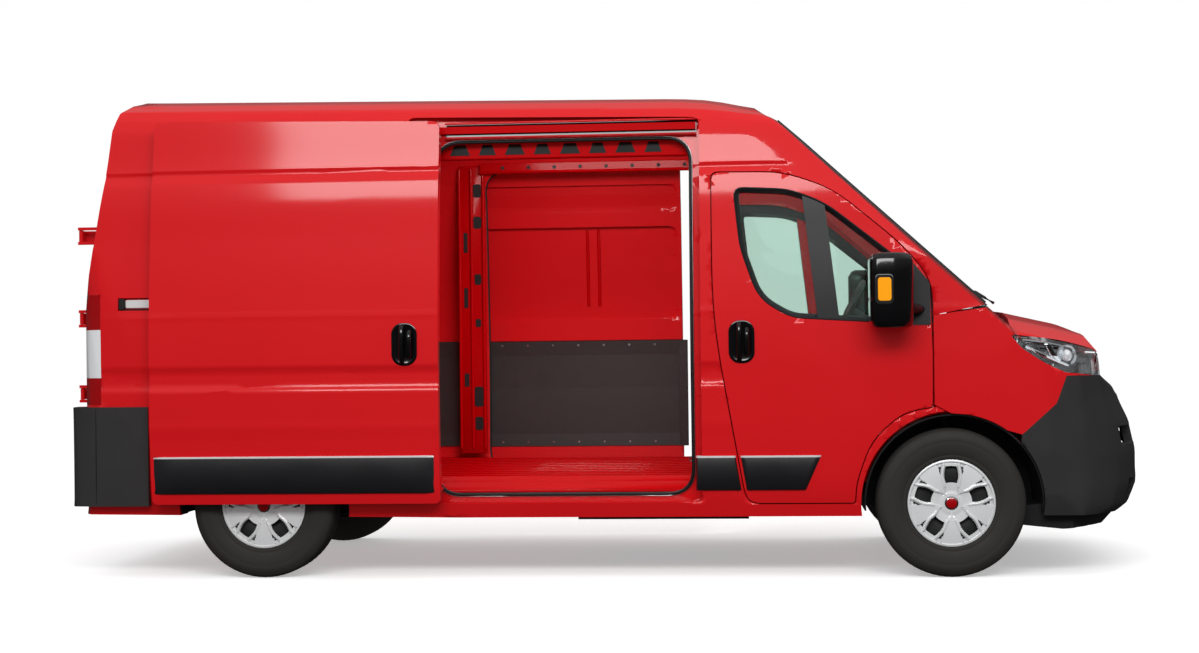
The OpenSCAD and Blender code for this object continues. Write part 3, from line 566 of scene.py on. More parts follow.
@dataclass
class Flank:
    """The pressed side of the body: its half section, its plan, and the lines pressed into it."""

    half_width: float = 1.013
    tail: float = -2.6505
    nose: float = 2.7065
    height: float = 2.520
    section: list = field(default_factory=lambda: [
        (0.300, 0.058), (0.400, 0.034), (0.620, 0.014), (0.900, 0.003), (1.100, 0.0), (1.320, 0.008),
        (1.700, 0.040), (2.005, 0.075), (2.075, 0.092), (2.300, 0.126), (2.620, 0.180)])
    pressed: list = field(default_factory=lambda: [
        (0.300, 0.0), (0.700, 0.0), (0.767, 0.004), (0.800, 0.002), (0.930, 0.0), (0.957, 0.0),
        (0.967, -0.010),
        (1.040, -0.012), (1.066, -0.003), (1.073, 0.0), (1.160, 0.0), (1.300, 0.002), (1.325, 0.004),
        (1.350, 0.001),
        (1.420, 0.0), (2.000, 0.0), (2.010, -0.001), (2.046, -0.008), (2.062, -0.007), (2.070, 0.0),
        (2.620, 0.0)])

    def knots(self) -> list[float]:
        """Heights where a pressed line turns."""
        return [z for z, _ in self.pressed]

    def plain(self, x: np.ndarray, z: np.ndarray) -> np.ndarray:
        """Half width of the faceted CAD side at each point."""
        zs, inset = np.array(self.section).T
        side = self.half_width - np.interp(z, zs, inset)
        return np.minimum(side, self.plan(x))

    def plan(self, x: np.ndarray) -> np.ndarray:
        """Half width that the body's plan allows at each x."""
        hw, n, t = self.half_width, self.nose, self.tail
        xs = [t - 0.01, t, t + 0.012, t + 0.045, t + 0.110, t + 0.260, t + 0.420, n - 0.700, n - 0.480,
              n - 0.300,
              n - 0.165, n - 0.075, n - 0.028, n - 0.006, n]
        ys = [hw - 0.16, hw - 0.150, hw - 0.095, hw - 0.050, hw - 0.020, hw - 0.004, hw + 0.002, hw + 0.002,
              hw - 0.020,
              hw - 0.060, 0.870, 0.740, 0.560, 0.300, 0.0]
        return np.interp(x, xs, ys)

    def soft(self, z: np.ndarray) -> np.ndarray:
        """Half width of the side as one smooth curve through the section's points."""
        zs, inset = np.array(self.section).T
        h = np.diff(zs)
        d = np.diff(inset) / h
        m = np.concatenate([[d[0]], (d[:-1] * h[1:] + d[1:] * h[:-1]) / (h[:-1] + h[1:]), [d[-1]]])
        i = np.clip(np.searchsorted(zs, z) - 1, 0, len(h) - 1)
        t = np.clip((z - zs[i]) / h[i], 0, 1)
        a, b = inset[i], inset[i + 1]
        value = ((2 * t**3 - 3 * t**2 + 1) * a + (t**3 - 2 * t**2 + t) * h[i] * m[i]
                 + (-2 * t**3 + 3 * t**2) * b + (t**3 - t**2) * h[i] * m[i + 1])
        return self.half_width - value

    def relief(self, z: np.ndarray) -> np.ndarray:
        """How far the pressed lines stand out at each height."""
        zs, out = np.array(self.pressed).T
        return np.interp(z, zs, out)


def bend(point: Sequence[float]) -> Vector:
    """Rounds the roof's front corner and the nose, which the CAD leaves straight.

    Args:
        point: A point of the CAD.

    Returns:
        Where it lies on the finished body.
    """
    x, y, z = point
    corner = float(np.interp(x, (0.42, 0.56, 0.68, 0.79, 0.85, 0.93, 1.02, 1.10),
                             (0, 8, 26, 52, 50, 22, 6, 0))) / 1000
    high = float(np.clip((z - 2.26) / 0.14, 0, 1))
    lean = float(np.interp(z, (0.30, 0.335, 0.44, 0.60, 0.75, 0.90, 0.985, 1.15, 1.30),
                           (-50, 0, 40, 40, 8, -50, -68, -45, 0))) / 1000
    ahead = float(np.clip((x - 2.30) / 0.34, 0, 1))
    ahead = ahead * ahead * (3 - 2 * ahead)
    return Vector((x + lean * ahead, y, z - corner * high))


class Dresser:
    """Turns CAD panels into finished panels: a fine even mesh, rounded where the CAD has flats."""

    def __init__(self, flank: Flank) -> None:
        """Keeps the side's surface."""
        self.flank = flank

    def cut_grid(self, work: bmesh.types.BMesh, cell: Point, extra_z: Sequence[float]) -> None:
        """Cuts a mesh along even planes, so that it can bend.

        Args:
            work: The mesh.
            cell: Spacing in x, y and z, 0 for none.
            extra_z: Further heights to cut at.
        """
        co = np.array([v.co for v in work.verts])
        low, high = co.min(0), co.max(0)
        for axis in range(3):
            levels = [] if not cell[axis] else list(np.arange(low[axis] + cell[axis] / 2, high[axis],
                                                              cell[axis]))
            if axis == 2:
                levels += [z for z in extra_z if low[2] < z < high[2]]
            normal = Vector([float(k == axis) for k in range(3)])
            for level in levels:
                cut(work, normal * level, normal)

    def relax(self, work: bmesh.types.BMesh, rounds: int, keep_deg: float) -> None:
        """Rounds the shallow edges of a mesh and leaves the sharp ones.

        Args:
            work: The mesh.
            rounds: How many smoothing rounds.
            keep_deg: Edges at least this sharp stay.
        """
        work.verts.index_update()
        co = np.array([v.co for v in work.verts])
        edges = np.array([(e.verts[0].index, e.verts[1].index) for e in work.edges])
        limit = math.radians(keep_deg)
        held = np.zeros(len(co), bool)
        for e in work.edges:
            if len(e.link_faces) != 2 or e.calc_face_angle(0) > limit:
                held[e.verts[0].index] = held[e.verts[1].index] = True
        degree = np.bincount(edges.ravel(), minlength=len(co)).astype(float)
        for _ in range(rounds):
            total = np.zeros_like(co)
            np.add.at(total, edges[:, 0], co[edges[:, 1]])
            np.add.at(total, edges[:, 1], co[edges[:, 0]])
            mean = total / np.maximum(degree, 1)[:, None]
            co = np.where(held[:, None], co, 0.5 * co + 0.5 * mean)
        for v, p in zip(work.verts, co):
            v.co = p

    def panel(self, node: str, name: str, finish: Finish, body: str,
              cell: Point = (0.08, 0.08, 0.05),
              shift: Point = (0, 0, 0), rounds: int = 6, keep_deg: float = 28.0, flank: bool = False,
              pressed: bool = False, smooth_deg: float = 30.0) -> bpy.types.Object:
        """Makes the finished panel that stands for a CAD node.

        Args:
            node: The CAD node.
            name: The new piece.
            finish: Its finish.
            body: The body that it rides on.
            cell: Mesh spacing in x, y and z.
            shift: How far the door stands from its shut place.
            rounds: Rounds of smoothing.
            keep_deg: Edges at least this sharp stay.
            flank: Whether its outside follows the side's smooth curve.
            pressed: Whether it has the side's pressed lines.
            smooth_deg: Edges sharper than this look crisp.

        Returns:
            The panel.
        """
        work = bmesh.new()
        work.from_mesh(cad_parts[node].data)
        bmesh.ops.remove_doubles(work, verts=work.verts, dist=SAME_CAD_CORNER)
        self.cut_grid(work, cell, self.flank.knots() if pressed else [])
        if rounds:
            self.relax(work, rounds, keep_deg)
        if flank:
            self.follow(work, shift, pressed)
        for v in work.verts:
            v.co = bend(v.co)
        mesh = bpy.data.meshes.new(name)
        work.to_mesh(mesh)
        work.free()
        thing = finish_piece(name, mesh, finish, body, smooth_deg, turn=False)
        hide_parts(node)
        return thing

    def follow(self, work: bmesh.types.BMesh, shift: Point, pressed: bool) -> None:
        """Moves the outer skin of a side panel onto the smooth side.

        Args:
            work: The panel's mesh.
            shift: How far the panel stands from its shut place.
            pressed: Whether the pressed lines are drawn.
        """
        co = np.array([v.co for v in work.verts])
        x, z = co[:, 0] - shift[0], co[:, 2]
        y = np.abs(co[:, 1]) - abs(shift[1])
        flat_y = self.flank.plain(x, z)
        plan = self.flank.plan(x)
        skin = (np.abs(y - flat_y) < 0.0012) & (z < 2.40)
        target = np.minimum(self.flank.soft(z), plan)
        if pressed:
            fade = np.clip((x + 2.60) / 0.10, 0, 1)
            target = target + self.flank.relief(z) * fade
        moved = np.where(skin, target - flat_y, 0.0)
        for v, d, c in zip(work.verts, moved, co):
            if d:
                v.co.y = c[1] + math.copysign(1.0, c[1]) * d


def scatter(name: str, points: Sequence[Point], radius: float, height: float, finish: Finish, body: str,
            axis: str = "Y") -> bpy.types.Object:
    """Sets one low round head at every point with Geometry Nodes, and makes the result a plain mesh.

    Args:
        name: The piece's name.
        points: Where the heads sit.
        radius: A head's radius.
        height: A head's height.
        finish: Its finish.
        body: The body that carries them.
        axis: The row axis that the heads point along.

    Returns:
        The heads as one piece.
    """
    seed = bpy.data.meshes.new(name + "_seed")
    seed.from_pydata([tuple(q) for q in points], [], [])
    host = bpy.data.objects.new(name + "_seed", seed)
    bpy.context.scene.collection.objects.link(host)
    tree = bpy.data.node_groups.new(name + "_heads", "GeometryNodeTree")
    face = tree.interface
    face.new_socket("Geometry", in_out="INPUT", socket_type="NodeSocketGeometry")
    for label in ("Radius", "Height"):
        face.new_socket(label, in_out="INPUT", socket_type="NodeSocketFloat")
    face.new_socket("Geometry", in_out="OUTPUT", socket_type="NodeSocketGeometry")
    start = add(tree, "NodeGroupInput")
    head = add(tree, "GeometryNodeMeshCylinder", {"Vertices": 12, "Radius": start.outputs["Radius"],
               "Depth": start.outputs["Height"]})
    turn = {"Y": (math.pi / 2, 0.0, 0.0), "X": (0.0, math.pi / 2, 0.0), "Z": (0.0, 0.0, 0.0)}[axis]
    put = add(tree, "GeometryNodeInstanceOnPoints",
              {"Points": start.outputs["Geometry"], "Instance": head.outputs["Mesh"],
              "Rotation": turn})
    real = add(tree, "GeometryNodeRealizeInstances", {"Geometry": put.outputs["Instances"]})
    dress = add(tree, "GeometryNodeSetMaterial",
                {"Geometry": real.outputs["Geometry"], "Material": finish.make()})
    add(tree, "NodeGroupOutput", {"Geometry": dress.outputs["Geometry"]})
    change = host.modifiers.new("heads", "NODES")
    change.node_group = tree
    for item in face.items_tree:
        if item.name == "Radius":
            change[item.identifier] = radius
        if item.name == "Height":
            change[item.identifier] = height
    bpy.context.view_layer.update()
    return finish_piece(name, evaluated_mesh(host, name), finish, body, 40.0, turn=False)


# ------------------------------------------------------------------ sub-assemblies


@dataclass
class Shell:
    """The painted body: walls, roof, wings, bonnet, bumpers and all the doors."""

    flank: Flank
    out: float = 0.084
    right_travel: float = 1.300
    left_travel: float = 0.175

    def build(self) -> None:
        """Dresses every panel."""
        d = Dresser(self.flank)
        for side, travel in ((Side.RIGHT, self.right_travel), (Side.LEFT, self.left_travel)):
            w = side.word
            d.panel("side_wall_" + w, "wall_" + w, PAINT, "body", (0.07, 0.0, 0.04), rounds=3,
                    flank=True,
                    pressed=True)
            d.panel("slide_door_" + w, "sliding_door_" + w, PAINT, "body", (0.06, 0.0, 0.03),
                    (-travel, self.out, 0), rounds=0, flank=True, pressed=True)
            d.panel("cab_door_" + w, "front_door_" + w, PAINT, "cab_door_" + w, (0.06, 0.0, 0.03),
                    rounds=0,
                    flank=True)
            d.panel("rear_door_" + w, "back_door_" + w, PAINT, "rear_door_" + w, (0.0, 0.06, 0.05),
                    rounds=8)
        d.panel("roof", "roof_panel", PAINT, "body", (0.10, 0.05, 0.0), rounds=8)
        d.panel("wings", "front_wings", PAINT, "body", (0.03, 0.04, 0.03), rounds=10, keep_deg=26)
        d.panel("bonnet", "bonnet_panel", PAINT, "bonnet", (0.03, 0.04, 0.03), rounds=12,
                keep_deg=26)
        d.panel("front_bumper", "nose_bumper", BUMPER, "body", (0.03, 0.04, 0.03), rounds=12,
                keep_deg=30)
        d.panel("rear_bumper", "tail_bumper", BUMPER, "body", (0.05, 0.03, 0.05), rounds=4)
        for node in ("floor_pan", "load_floor", "wheel_boxes"):
            d.panel(node, node + "_sheet", INNER_PAINT, "body", (0.0, 0.0, 0.0), rounds=0)
        chin = [(2.085, 0.250), (2.300, 0.228), (2.520, 0.240), (2.640, 0.300), (2.700, 0.372),
                (2.400, 0.372), (2.120, 0.345)]
        rows, verts = 28, []
        ring = densify(chin, 0.03)
        for k in range(rows + 1):
            y = -0.90 + 1.80 * k / rows
            reach = self.flank.nose - 0.035 - 0.42 * abs(y / 0.98) ** 3.2
            verts += [(min(x, reach), y, z) for x, z in ring]
        n = len(ring)
        piece("chin", verts, loft_faces(n, rows), TRIM, "body", "dark_plastic", 40.0)
        d.panel("scuttle", "cowl", TRIM, "body", (0.04, 0.05, 0.0), rounds=4)


@dataclass
class Trim:
    """Strips, seals, handles, tracks and wipers on the outside."""

    flank: Flank
    shell: Shell

    def at(self, x: float, z: float) -> float:
        """Half width of the finished side at a point."""
        xs, zs = np.array([x]), np.array([z])
        return float(min(self.flank.soft(zs)[0], self.flank.plan(xs)[0]))

    def strip(self, name: str, side: Side, ends: Callable[[float], tuple[float, float]], z0: float, z1: float,
              proud: float, shift: tuple[float, float], finish: Finish, body: str,
              slot: str = "") -> bpy.types.Object:
        """A moulding that follows the side, its edges rolled down to it.

        Args:
            name: The piece's name.
            side: Its side of the van.
            ends: Its first and last x at a height.
            z0: Its bottom.
            z1: Its top.
            proud: How far it stands out.
            shift: Travel back and step out of the door that carries it.
            finish: Its finish.
            body: Its body.
            slot: The record's slot.

        Returns:
            The moulding.
        """
        rows = [0.0, 0.002, 0.006, 0.5 * (z1 - z0), (z1 - z0) - 0.010, (z1 - z0) - 0.003, z1 - z0]
        lift = [-0.004, 0.6 * proud, proud, proud, proud, 0.7 * proud, -0.004]
        verts = []
        n = 24
        for dz, h in zip(rows, lift):
            z = z0 + dz
            a, b = ends(z)
            for k in range(n + 1):
                t = k / n
                x = a + (b - a) * t
                edge = min(x - a, b - x)
                e = h if edge > 0.004 else -0.004 if edge < 0.0005 else 0.6 * h
                verts.append((x - shift[0], side.value * (self.at(x, z) + shift[1] + e), z))
        faces = sheet_faces(n + 1, len(rows))
        low = len(verts)
        for r, dz in enumerate(rows):
            a, b = ends(z0 + dz)
            verts += [(x - shift[0], side.value * (self.at(x, z0 + dz) + shift[1] - 0.004), z0 + dz)
                      for x in (a, b)]
        for r in range(len(rows) - 1):
            faces.append((low + 2 * r, low + 2 * r + 1, low + 2 * r + 3, low + 2 * r + 2))
        return piece(name, verts, faces, finish, body, slot, 50.0)

    def door_edge(self, z: float) -> float:
        """Rear edge of the cab door at a height.

        Args:
            z: The height.

        Returns:
            Its x.
        """
        return 0.6135 + (1.160 - z) * 0.173

    def handle(self, side: Side, x: float, z: float, shift: tuple[float, float], body: str,
               name: str) -> None:
        """An oval handle dish with an upright grip.

        Args:
            side: Its side of the van.
            x: Middle of the dish.
            z: Middle of the dish.
            shift: Travel back and step out of its door.
            body: Its body.
            name: The piece's name.
        """
        s = side.value
        y0 = self.at(x + shift[0], z) + shift[1]
        oval = rounded(x - 0.064, z - 0.106, x + 0.064, z + 0.106, 0.056, 8)
        bowl = []
        for inset, dy in ((0.0, -0.004), (0.0, 0.005), (0.006, 0.008), (0.014, 0.006), (0.024, 0.003),
                          (0.050, 0.002)):
            ring = shrink(oval, inset) if inset else oval
            bowl.append([(px, s * (y0 + dy), pz) for px, pz in ring])
        n = len(oval)
        verts = [q for ring in bowl for q in ring]
        piece(name + "_dish", verts, loft_faces(n, len(bowl) - 1), GLOSS_BLACK_AND_SHADE, body, "black_plastic", 60.0)
        grips = []
        for dx, half in ((-0.012, 0.090), (0.026, 0.062)):
            grips.append(tube([(x + dx, s * (y0 + d), z + dz * half) for dz, d in
                               ((-1.0, 0.006), (-0.88, 0.016), (-0.55, 0.022), (0.0, 0.024), (0.55, 0.022),
                                (0.88, 0.016), (1.0, 0.006))], 0.013, sides=12, flat=0.9))
        piece(name + "_grip", *join_lists(grips), GLOSS_BLACK_AND_SHADE, body, "black_plastic", 60.0)

    def seal(self, side: Side) -> None:
        """The rubber seal round a side opening, with a bright line along its edge as a painted highlight.

        Args:
            side: Its side of the van.
        """
        loop = densify(eased([(-0.8155, 0.413, 0.13), (0.4845, 0.413, 0.13), (0.4845, 2.205, 0.13),
                              (-0.8155, 2.205, 0.13)], 8), 0.08)
        path = [(x, side.value * (self.at(x, z) - 0.067), z) for x, z in loop]
        piece("opening_seal_" + side.word, *tube(path, 0.0085, closed=True, sides=10), SEAL_AND_SHADE, "body",
              "black_plastic", 60.0)
        # A thin bright steel line just outside the seal is a painted highlight along the opening's edge.
        pale = [(x, side.value * (self.at(x, z) - 0.057), z) for x, z in shrink(loop, -0.009)]
        piece("seal_lip_" + side.word, *tube(pale, 0.0022, closed=True, sides=6), STEEL_AND_HIGHLIGHT, "body",
              "bright_steel", 60.0)

    def build(self) -> None:
        """Makes all the outside trim."""
        s = self.shell
        for side, travel in ((Side.RIGHT, s.right_travel), (Side.LEFT, s.left_travel)):
            w = side.word
            self.strip("sliding_door_strip_" + w, side, lambda z: (-0.9495, 0.512), 0.432, 0.618, 0.012,
                       (travel, s.out),
                       TRIM, "body", "dark_plastic")
            # The pale silver band along the top of the sliding door's moulding is a painted highlight, where
            # light catches the moulding's top edge.
            self.strip("sliding_door_strip_edge_" + w, side, lambda z: (-0.9495, 0.512), 0.614, 0.623, 0.0125,
                       (travel, s.out), SILVER_COVER_AND_HIGHLIGHT, "body", "dark_plastic")
            # The second, pale silver band along the top of the cab door's and pillar's mouldings is a painted
            # highlight as well.
            for label, z0, z1, finish in (("", 0.432, 0.602, TRIM), ("_edge", 0.599, 0.606, SILVER_COVER_AND_HIGHLIGHT)):
                self.strip("cab_door_strip" + label + "_" + w, side,
                           lambda z: (self.door_edge(z) + 0.007, 1.045 + 0.45 * (z - 0.432)),
                           z0, z1, 0.012, (0, 0), finish, "cab_door_" + w, "dark_plastic")
                made = self.strip("pillar_strip" + label + "_" + w, side,
                                  lambda z: (0.500, self.door_edge(z) - 0.012), z0, z1,
                                  0.012, (0, 0), finish, "body", "dark_plastic")
                if side is Side.RIGHT and not label:
                    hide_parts("side_mouldings")
            self.handle(side, 0.733, 1.170, (0, 0), "cab_door_" + w, "cab_handle_" + w)
            self.handle(side, 0.357 - travel, 1.177, (travel, s.out), "body", "sliding_handle_" + w)
            self.seal(side)
            self.rail_end(side)
            seam = [(-2.556, side.value * (1.0195 + d), z) for z,
                    d in ((0.376, -0.002), (0.60, 0.0002), (0.868, -0.002))]
            piece("bumper_seam_" + w, *tube(seam, 0.0022, sides=6), SEAL_AND_SHADE, "body", "dark_plastic")
        self.wipers()
        self.screen_seal()

    def rail_end(self, side: Side) -> None:
        """The middle track with its dark end cap and its bar in pale silver as a painted reflection, and the
        slot of the top track, lined black as painted shade, with its lips.

        Args:
            side: Its side of the van.
        """
        y = self.at(-2.4, 1.398)
        piece("rail_cap_" + side.word, *join_lists([
            prism(rounded(-2.436, 1.371, -2.405, 1.425, 0.006), side.value * (y - 0.030),
                  side.value * (y + 0.003), 0.002),
            prism(rounded(-2.436, 1.366, -0.952, 1.372, 0.003), side.value * (y - 0.036),
                  side.value * (y - 0.006), 0.001)]),
            TRIM, "body", "black_plastic")
        # The bar takes the pale silver cover finish instead of bright steel so that it shows bright: a
        # painted reflection.
        piece("rail_bar_" + side.word,
              *prism(rounded(-2.404, 1.378, -0.952, 1.420, 0.008), side.value * (y - 0.024),
              side.value * (y - 0.006), 0.003), SILVER_COVER_AND_HIGHLIGHT, "body", "bright_steel")
        # A black sheet set behind the top track stands for the shade inside its slot: painted shade.
        along = np.linspace(-0.766, 0.516, 12)
        heights = (2.222, 2.262, 2.302)
        slot_shade = [(x, side.value * (self.at(x, z) - 0.0605), z) for z in heights for x in along]
        faces = sheet_faces(len(along), len(heights))
        piece("track_groove_" + side.word, slot_shade, faces, GLOSS_BLACK_AND_SHADE, "body", "black_plastic")
        lip = [tube([(x, side.value * (self.at(x, z) - d), z) for x in along], r, sides=6)
               for z, d, r in ((2.222, 0.050, 0.006), (2.226, 0.030, 0.004), (2.300, 0.035, 0.006))]
        piece("track_lips_" + side.word, *join_lists(lip), PAINT, "body", "paint", 60.0)

    def wipers(self) -> None:
        """Two wiper arms with blades, parked along the foot of the windscreen."""
        parts = []
        for y in (-0.62, 0.12):
            base = (2.010, y, 1.352)
            tip = (1.905, y + 0.52, 1.432)
            parts.append(tube([base, (base[0] - 0.04, y + 0.05, base[2] + 0.030), (1.95, y + 0.27, 1.415),
                               tip], 0.008, sides=8))
            parts.append(tube([(1.930, y + 0.10, 1.410), (1.912, y + 0.35, 1.425), (1.906, y + 0.66, 1.422)],
                              0.010, sides=8,
                              flat=0.6))
        piece("wipers", *join_lists(parts), TRIM, "body", "black_plastic", 60.0)

    def screen_seal(self) -> None:
        """The black seals along both sides of the windscreen."""
        parts = []
        for s in (-1, 1):
            edge = [v.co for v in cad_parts["windscreen"].data.vertices if s * v.co.y > 0.785]
            low = max((c for c in edge if c.z < min(e.z for e in edge) + 0.002), key=lambda c: c.x)
            high = max((c for c in edge if c.z > max(e.z for e in edge) - 0.002), key=lambda c: c.x)
            run = [low.lerp(high, t) + Vector((0.004, 0, 0.002)) for t in np.linspace(0, 1, 9)]
            parts.append(tube([tuple(bend(p)) for p in run], 0.012, sides=10, flat=0.7))
        piece("screen_seal", *join_lists(parts), TRIM, "body", "black_plastic", 60.0)


@dataclass
class Glazing:
    """Windscreen, door glass and their black borders, and the mirrors."""

    flank: Flank
    trim: Trim
    rear: float = 0.5915
    front: float = 1.6685

    def window(self) -> Outline:
        """The cab door's window outline."""
        r, f = self.rear, self.front
        return eased([(r + 0.388, 1.283, 0.06), (f - 0.008, 1.240, 0.012), (f - 0.008, 1.440, 0.04),
                      (r + 0.905, 1.585, 0.06), (r + 0.560, 1.862, 0.09), (r + 0.380, 1.930, 0.06),
                      (r + 0.103, 1.945, 0.06), (r + 0.135, 1.640, 0.06), (r + 0.225, 1.380, 0.09)])

    def border(self, side: Side) -> None:
        """The black gasket and printed border of a cab door window, and its divider.

        Args:
            side: Its side of the van.
        """
        s = side.value
        outer = densify(self.window(), 0.04)
        layers = [(outer, -0.030), (outer, -0.001), (shrink(outer, 0.005), 0.0015),
                  (shrink(outer, 0.026), -0.016),
                  (shrink(outer, 0.028), -0.030)]
        n = len(outer)
        verts = [(x, s * (self.trim.at(x, z) + d), z) for ring, d in layers for x, z in ring]
        faces = hoop_faces(n, len(layers))
        around, inside = shrink(outer, -0.050), shrink(outer, 0.006)
        rings = [(around, -0.0605), (around, -0.066), (inside, -0.066), (inside, -0.0605)]
        card = [(x, s * (self.trim.at(x, z) + d), z) for ring, d in rings for x, z in ring]
        piece("window_lining_" + side.word, card, hoop_faces(n, len(rings)), DASH, "cab_door_" + side.word,
              "dash_plastic", 40.0)
        piece("window_border_" + side.word, verts, faces, TRIM, "cab_door_" + side.word, "black_plastic",
              50.0)
        bar = []
        for d in (-0.022, -0.003):
            for t in np.linspace(0, 1, 12):
                z = 1.262 + t * (1.900 - 1.262)
                mid = self.rear + 0.580 - 0.1125 * (z - 1.2)
                for dx in (-0.053, 0.053):
                    bar.append((mid + dx, s * (self.trim.at(mid, z) + d), z))
        m = 24
        faces = [(2 * i, 2 * i + 1, 2 * i + 3, 2 * i + 2) for i in range(11)]
        faces += [(m + 2 * i, m + 2 * i + 1, m + 2 * i + 3, m + 2 * i + 2) for i in range(11)]
        faces += [(2 * i + e, 2 * i + 2 + e, m + 2 * i + 2 + e, m + 2 * i + e) for i in range(11)
                  for e in (0, 1)]
        faces += [(0, 1, m + 1, m), (22, 23, m + 23, m + 22)]
        piece("window_divider_" + side.word, bar, faces, TRIM, "cab_door_" + side.word, "black_plastic", 40.0)

    def mirror(self, side: Side) -> None:
        """A door mirror: sail, arm, rounded housing, repeater and two glasses.

        Args:
            side: Its side of the van.
        """
        s = side.value
        body, node = "cab_door_" + side.word, "mirror_" + side.word
        y0 = 1.013
        verts = []
        rings = [(1.226, 0.72), (1.236, 0.90), (1.262, 0.99), (1.33, 1.0), (1.48, 1.0), (1.555, 0.98),
                 (1.582, 0.88), (1.592, 0.68)]
        base = eased([(1.3565, 0.045, 0.03), (1.3565, 0.240, 0.05), (1.500, 0.240, 0.09),
                      (1.5705, 0.165, 0.07),
                      (1.5705, 0.070, 0.05), (1.400, 0.035, 0.03)], 6)
        cx, cy = 1.458, 0.138
        for z, k in rings:
            verts += [(cx + (x - cx) * k, s * (y0 + cy + (y - cy) * k), z) for x, y in base]
        faces = loft_faces(len(base), len(rings) - 1)
        shell = piece("mirror_shell_" + side.word, verts, faces, GLOSS_BLACK_AND_SHADE, body, "black_plastic", 50.0)
        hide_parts(node)
        sail = densify([(1.5605, 1.243), (1.6600, 1.242), (1.6600, 1.441), (1.6500, 1.462), (1.5605, 1.575)],
                       0.03)
        m = len(sail)
        plate = [(x, s * (self.trim.at(x, z) + d), z) for d in (-0.030, 0.004) for x, z in sail]
        side_faces = [(i, (i + 1) % m, (i + 1) % m + m, i + m)
                      for i in range(m)] + [tuple(range(m)), tuple(range(m, 2 * m))]
        arm = tube([(1.600, s * (y0 - 0.010), 1.320), (1.585, s * (y0 + 0.035), 1.322),
                    (1.550, s * (y0 + 0.080), 1.330)],
                   0.034, sides=14, flat=0.75)
        piece("mirror_arm_" + side.word, *join_lists([(plate, side_faces), arm]), TRIM, body, "black_plastic",
              40.0)
        lamp = prism(rounded(1.378, 1.342, 1.466, 1.486, 0.020), s * (y0 + 0.236), s * (y0 + 0.243), 0.003)
        piece("mirror_lamp_frame_" + side.word, *lamp, CHROME, body, "clear_lens")
        piece("mirror_repeater_" + side.word,
              *prism(rounded(1.392, 1.358, 1.456, 1.470, 0.014), s * (y0 + 0.240),
              s * (y0 + 0.2455), 0.002), AMBER, body, "clear_lens")
        glasses = []
        for z0, z1 in ((1.262, 1.360), (1.375, 1.560)):
            x = 1.3545
            corners = [(0.066, z0), (0.222, z0), (0.222, z1), (0.066, z1)]
            v = [(x + dx, s * (y0 + y), z) for dx in (0.0, 0.004) for y, z in corners]
            glasses.append((v, [(0, 1, 2, 3),
                                (4, 5, 6, 7)] + [(i, (i + 1) % 4, (i + 1) % 4 + 4, i + 4) for i in range(4)]))
        piece("mirror_glass_" + side.word, *join_lists(glasses), CHROME, body, "glass")

    def build(self) -> None:
        """Makes borders and mirrors and dresses the glass."""
        for side in Side:
            self.border(side)
            self.mirror(side)
            paint_node("door_glass_" + side.word, GLASS)
        paint_node("windscreen", GLASS)


def paint_node(node: str, finish: Finish) -> None:
    """Gives a CAD node that stays its finish.

    Args:
        node: The CAD node.
        finish: Its finish.
    """
    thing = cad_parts[node]
    thing.data.materials.clear()
    thing.data.materials.append(finish.make())
    LOG.info("%s: %s", node, finish.name)


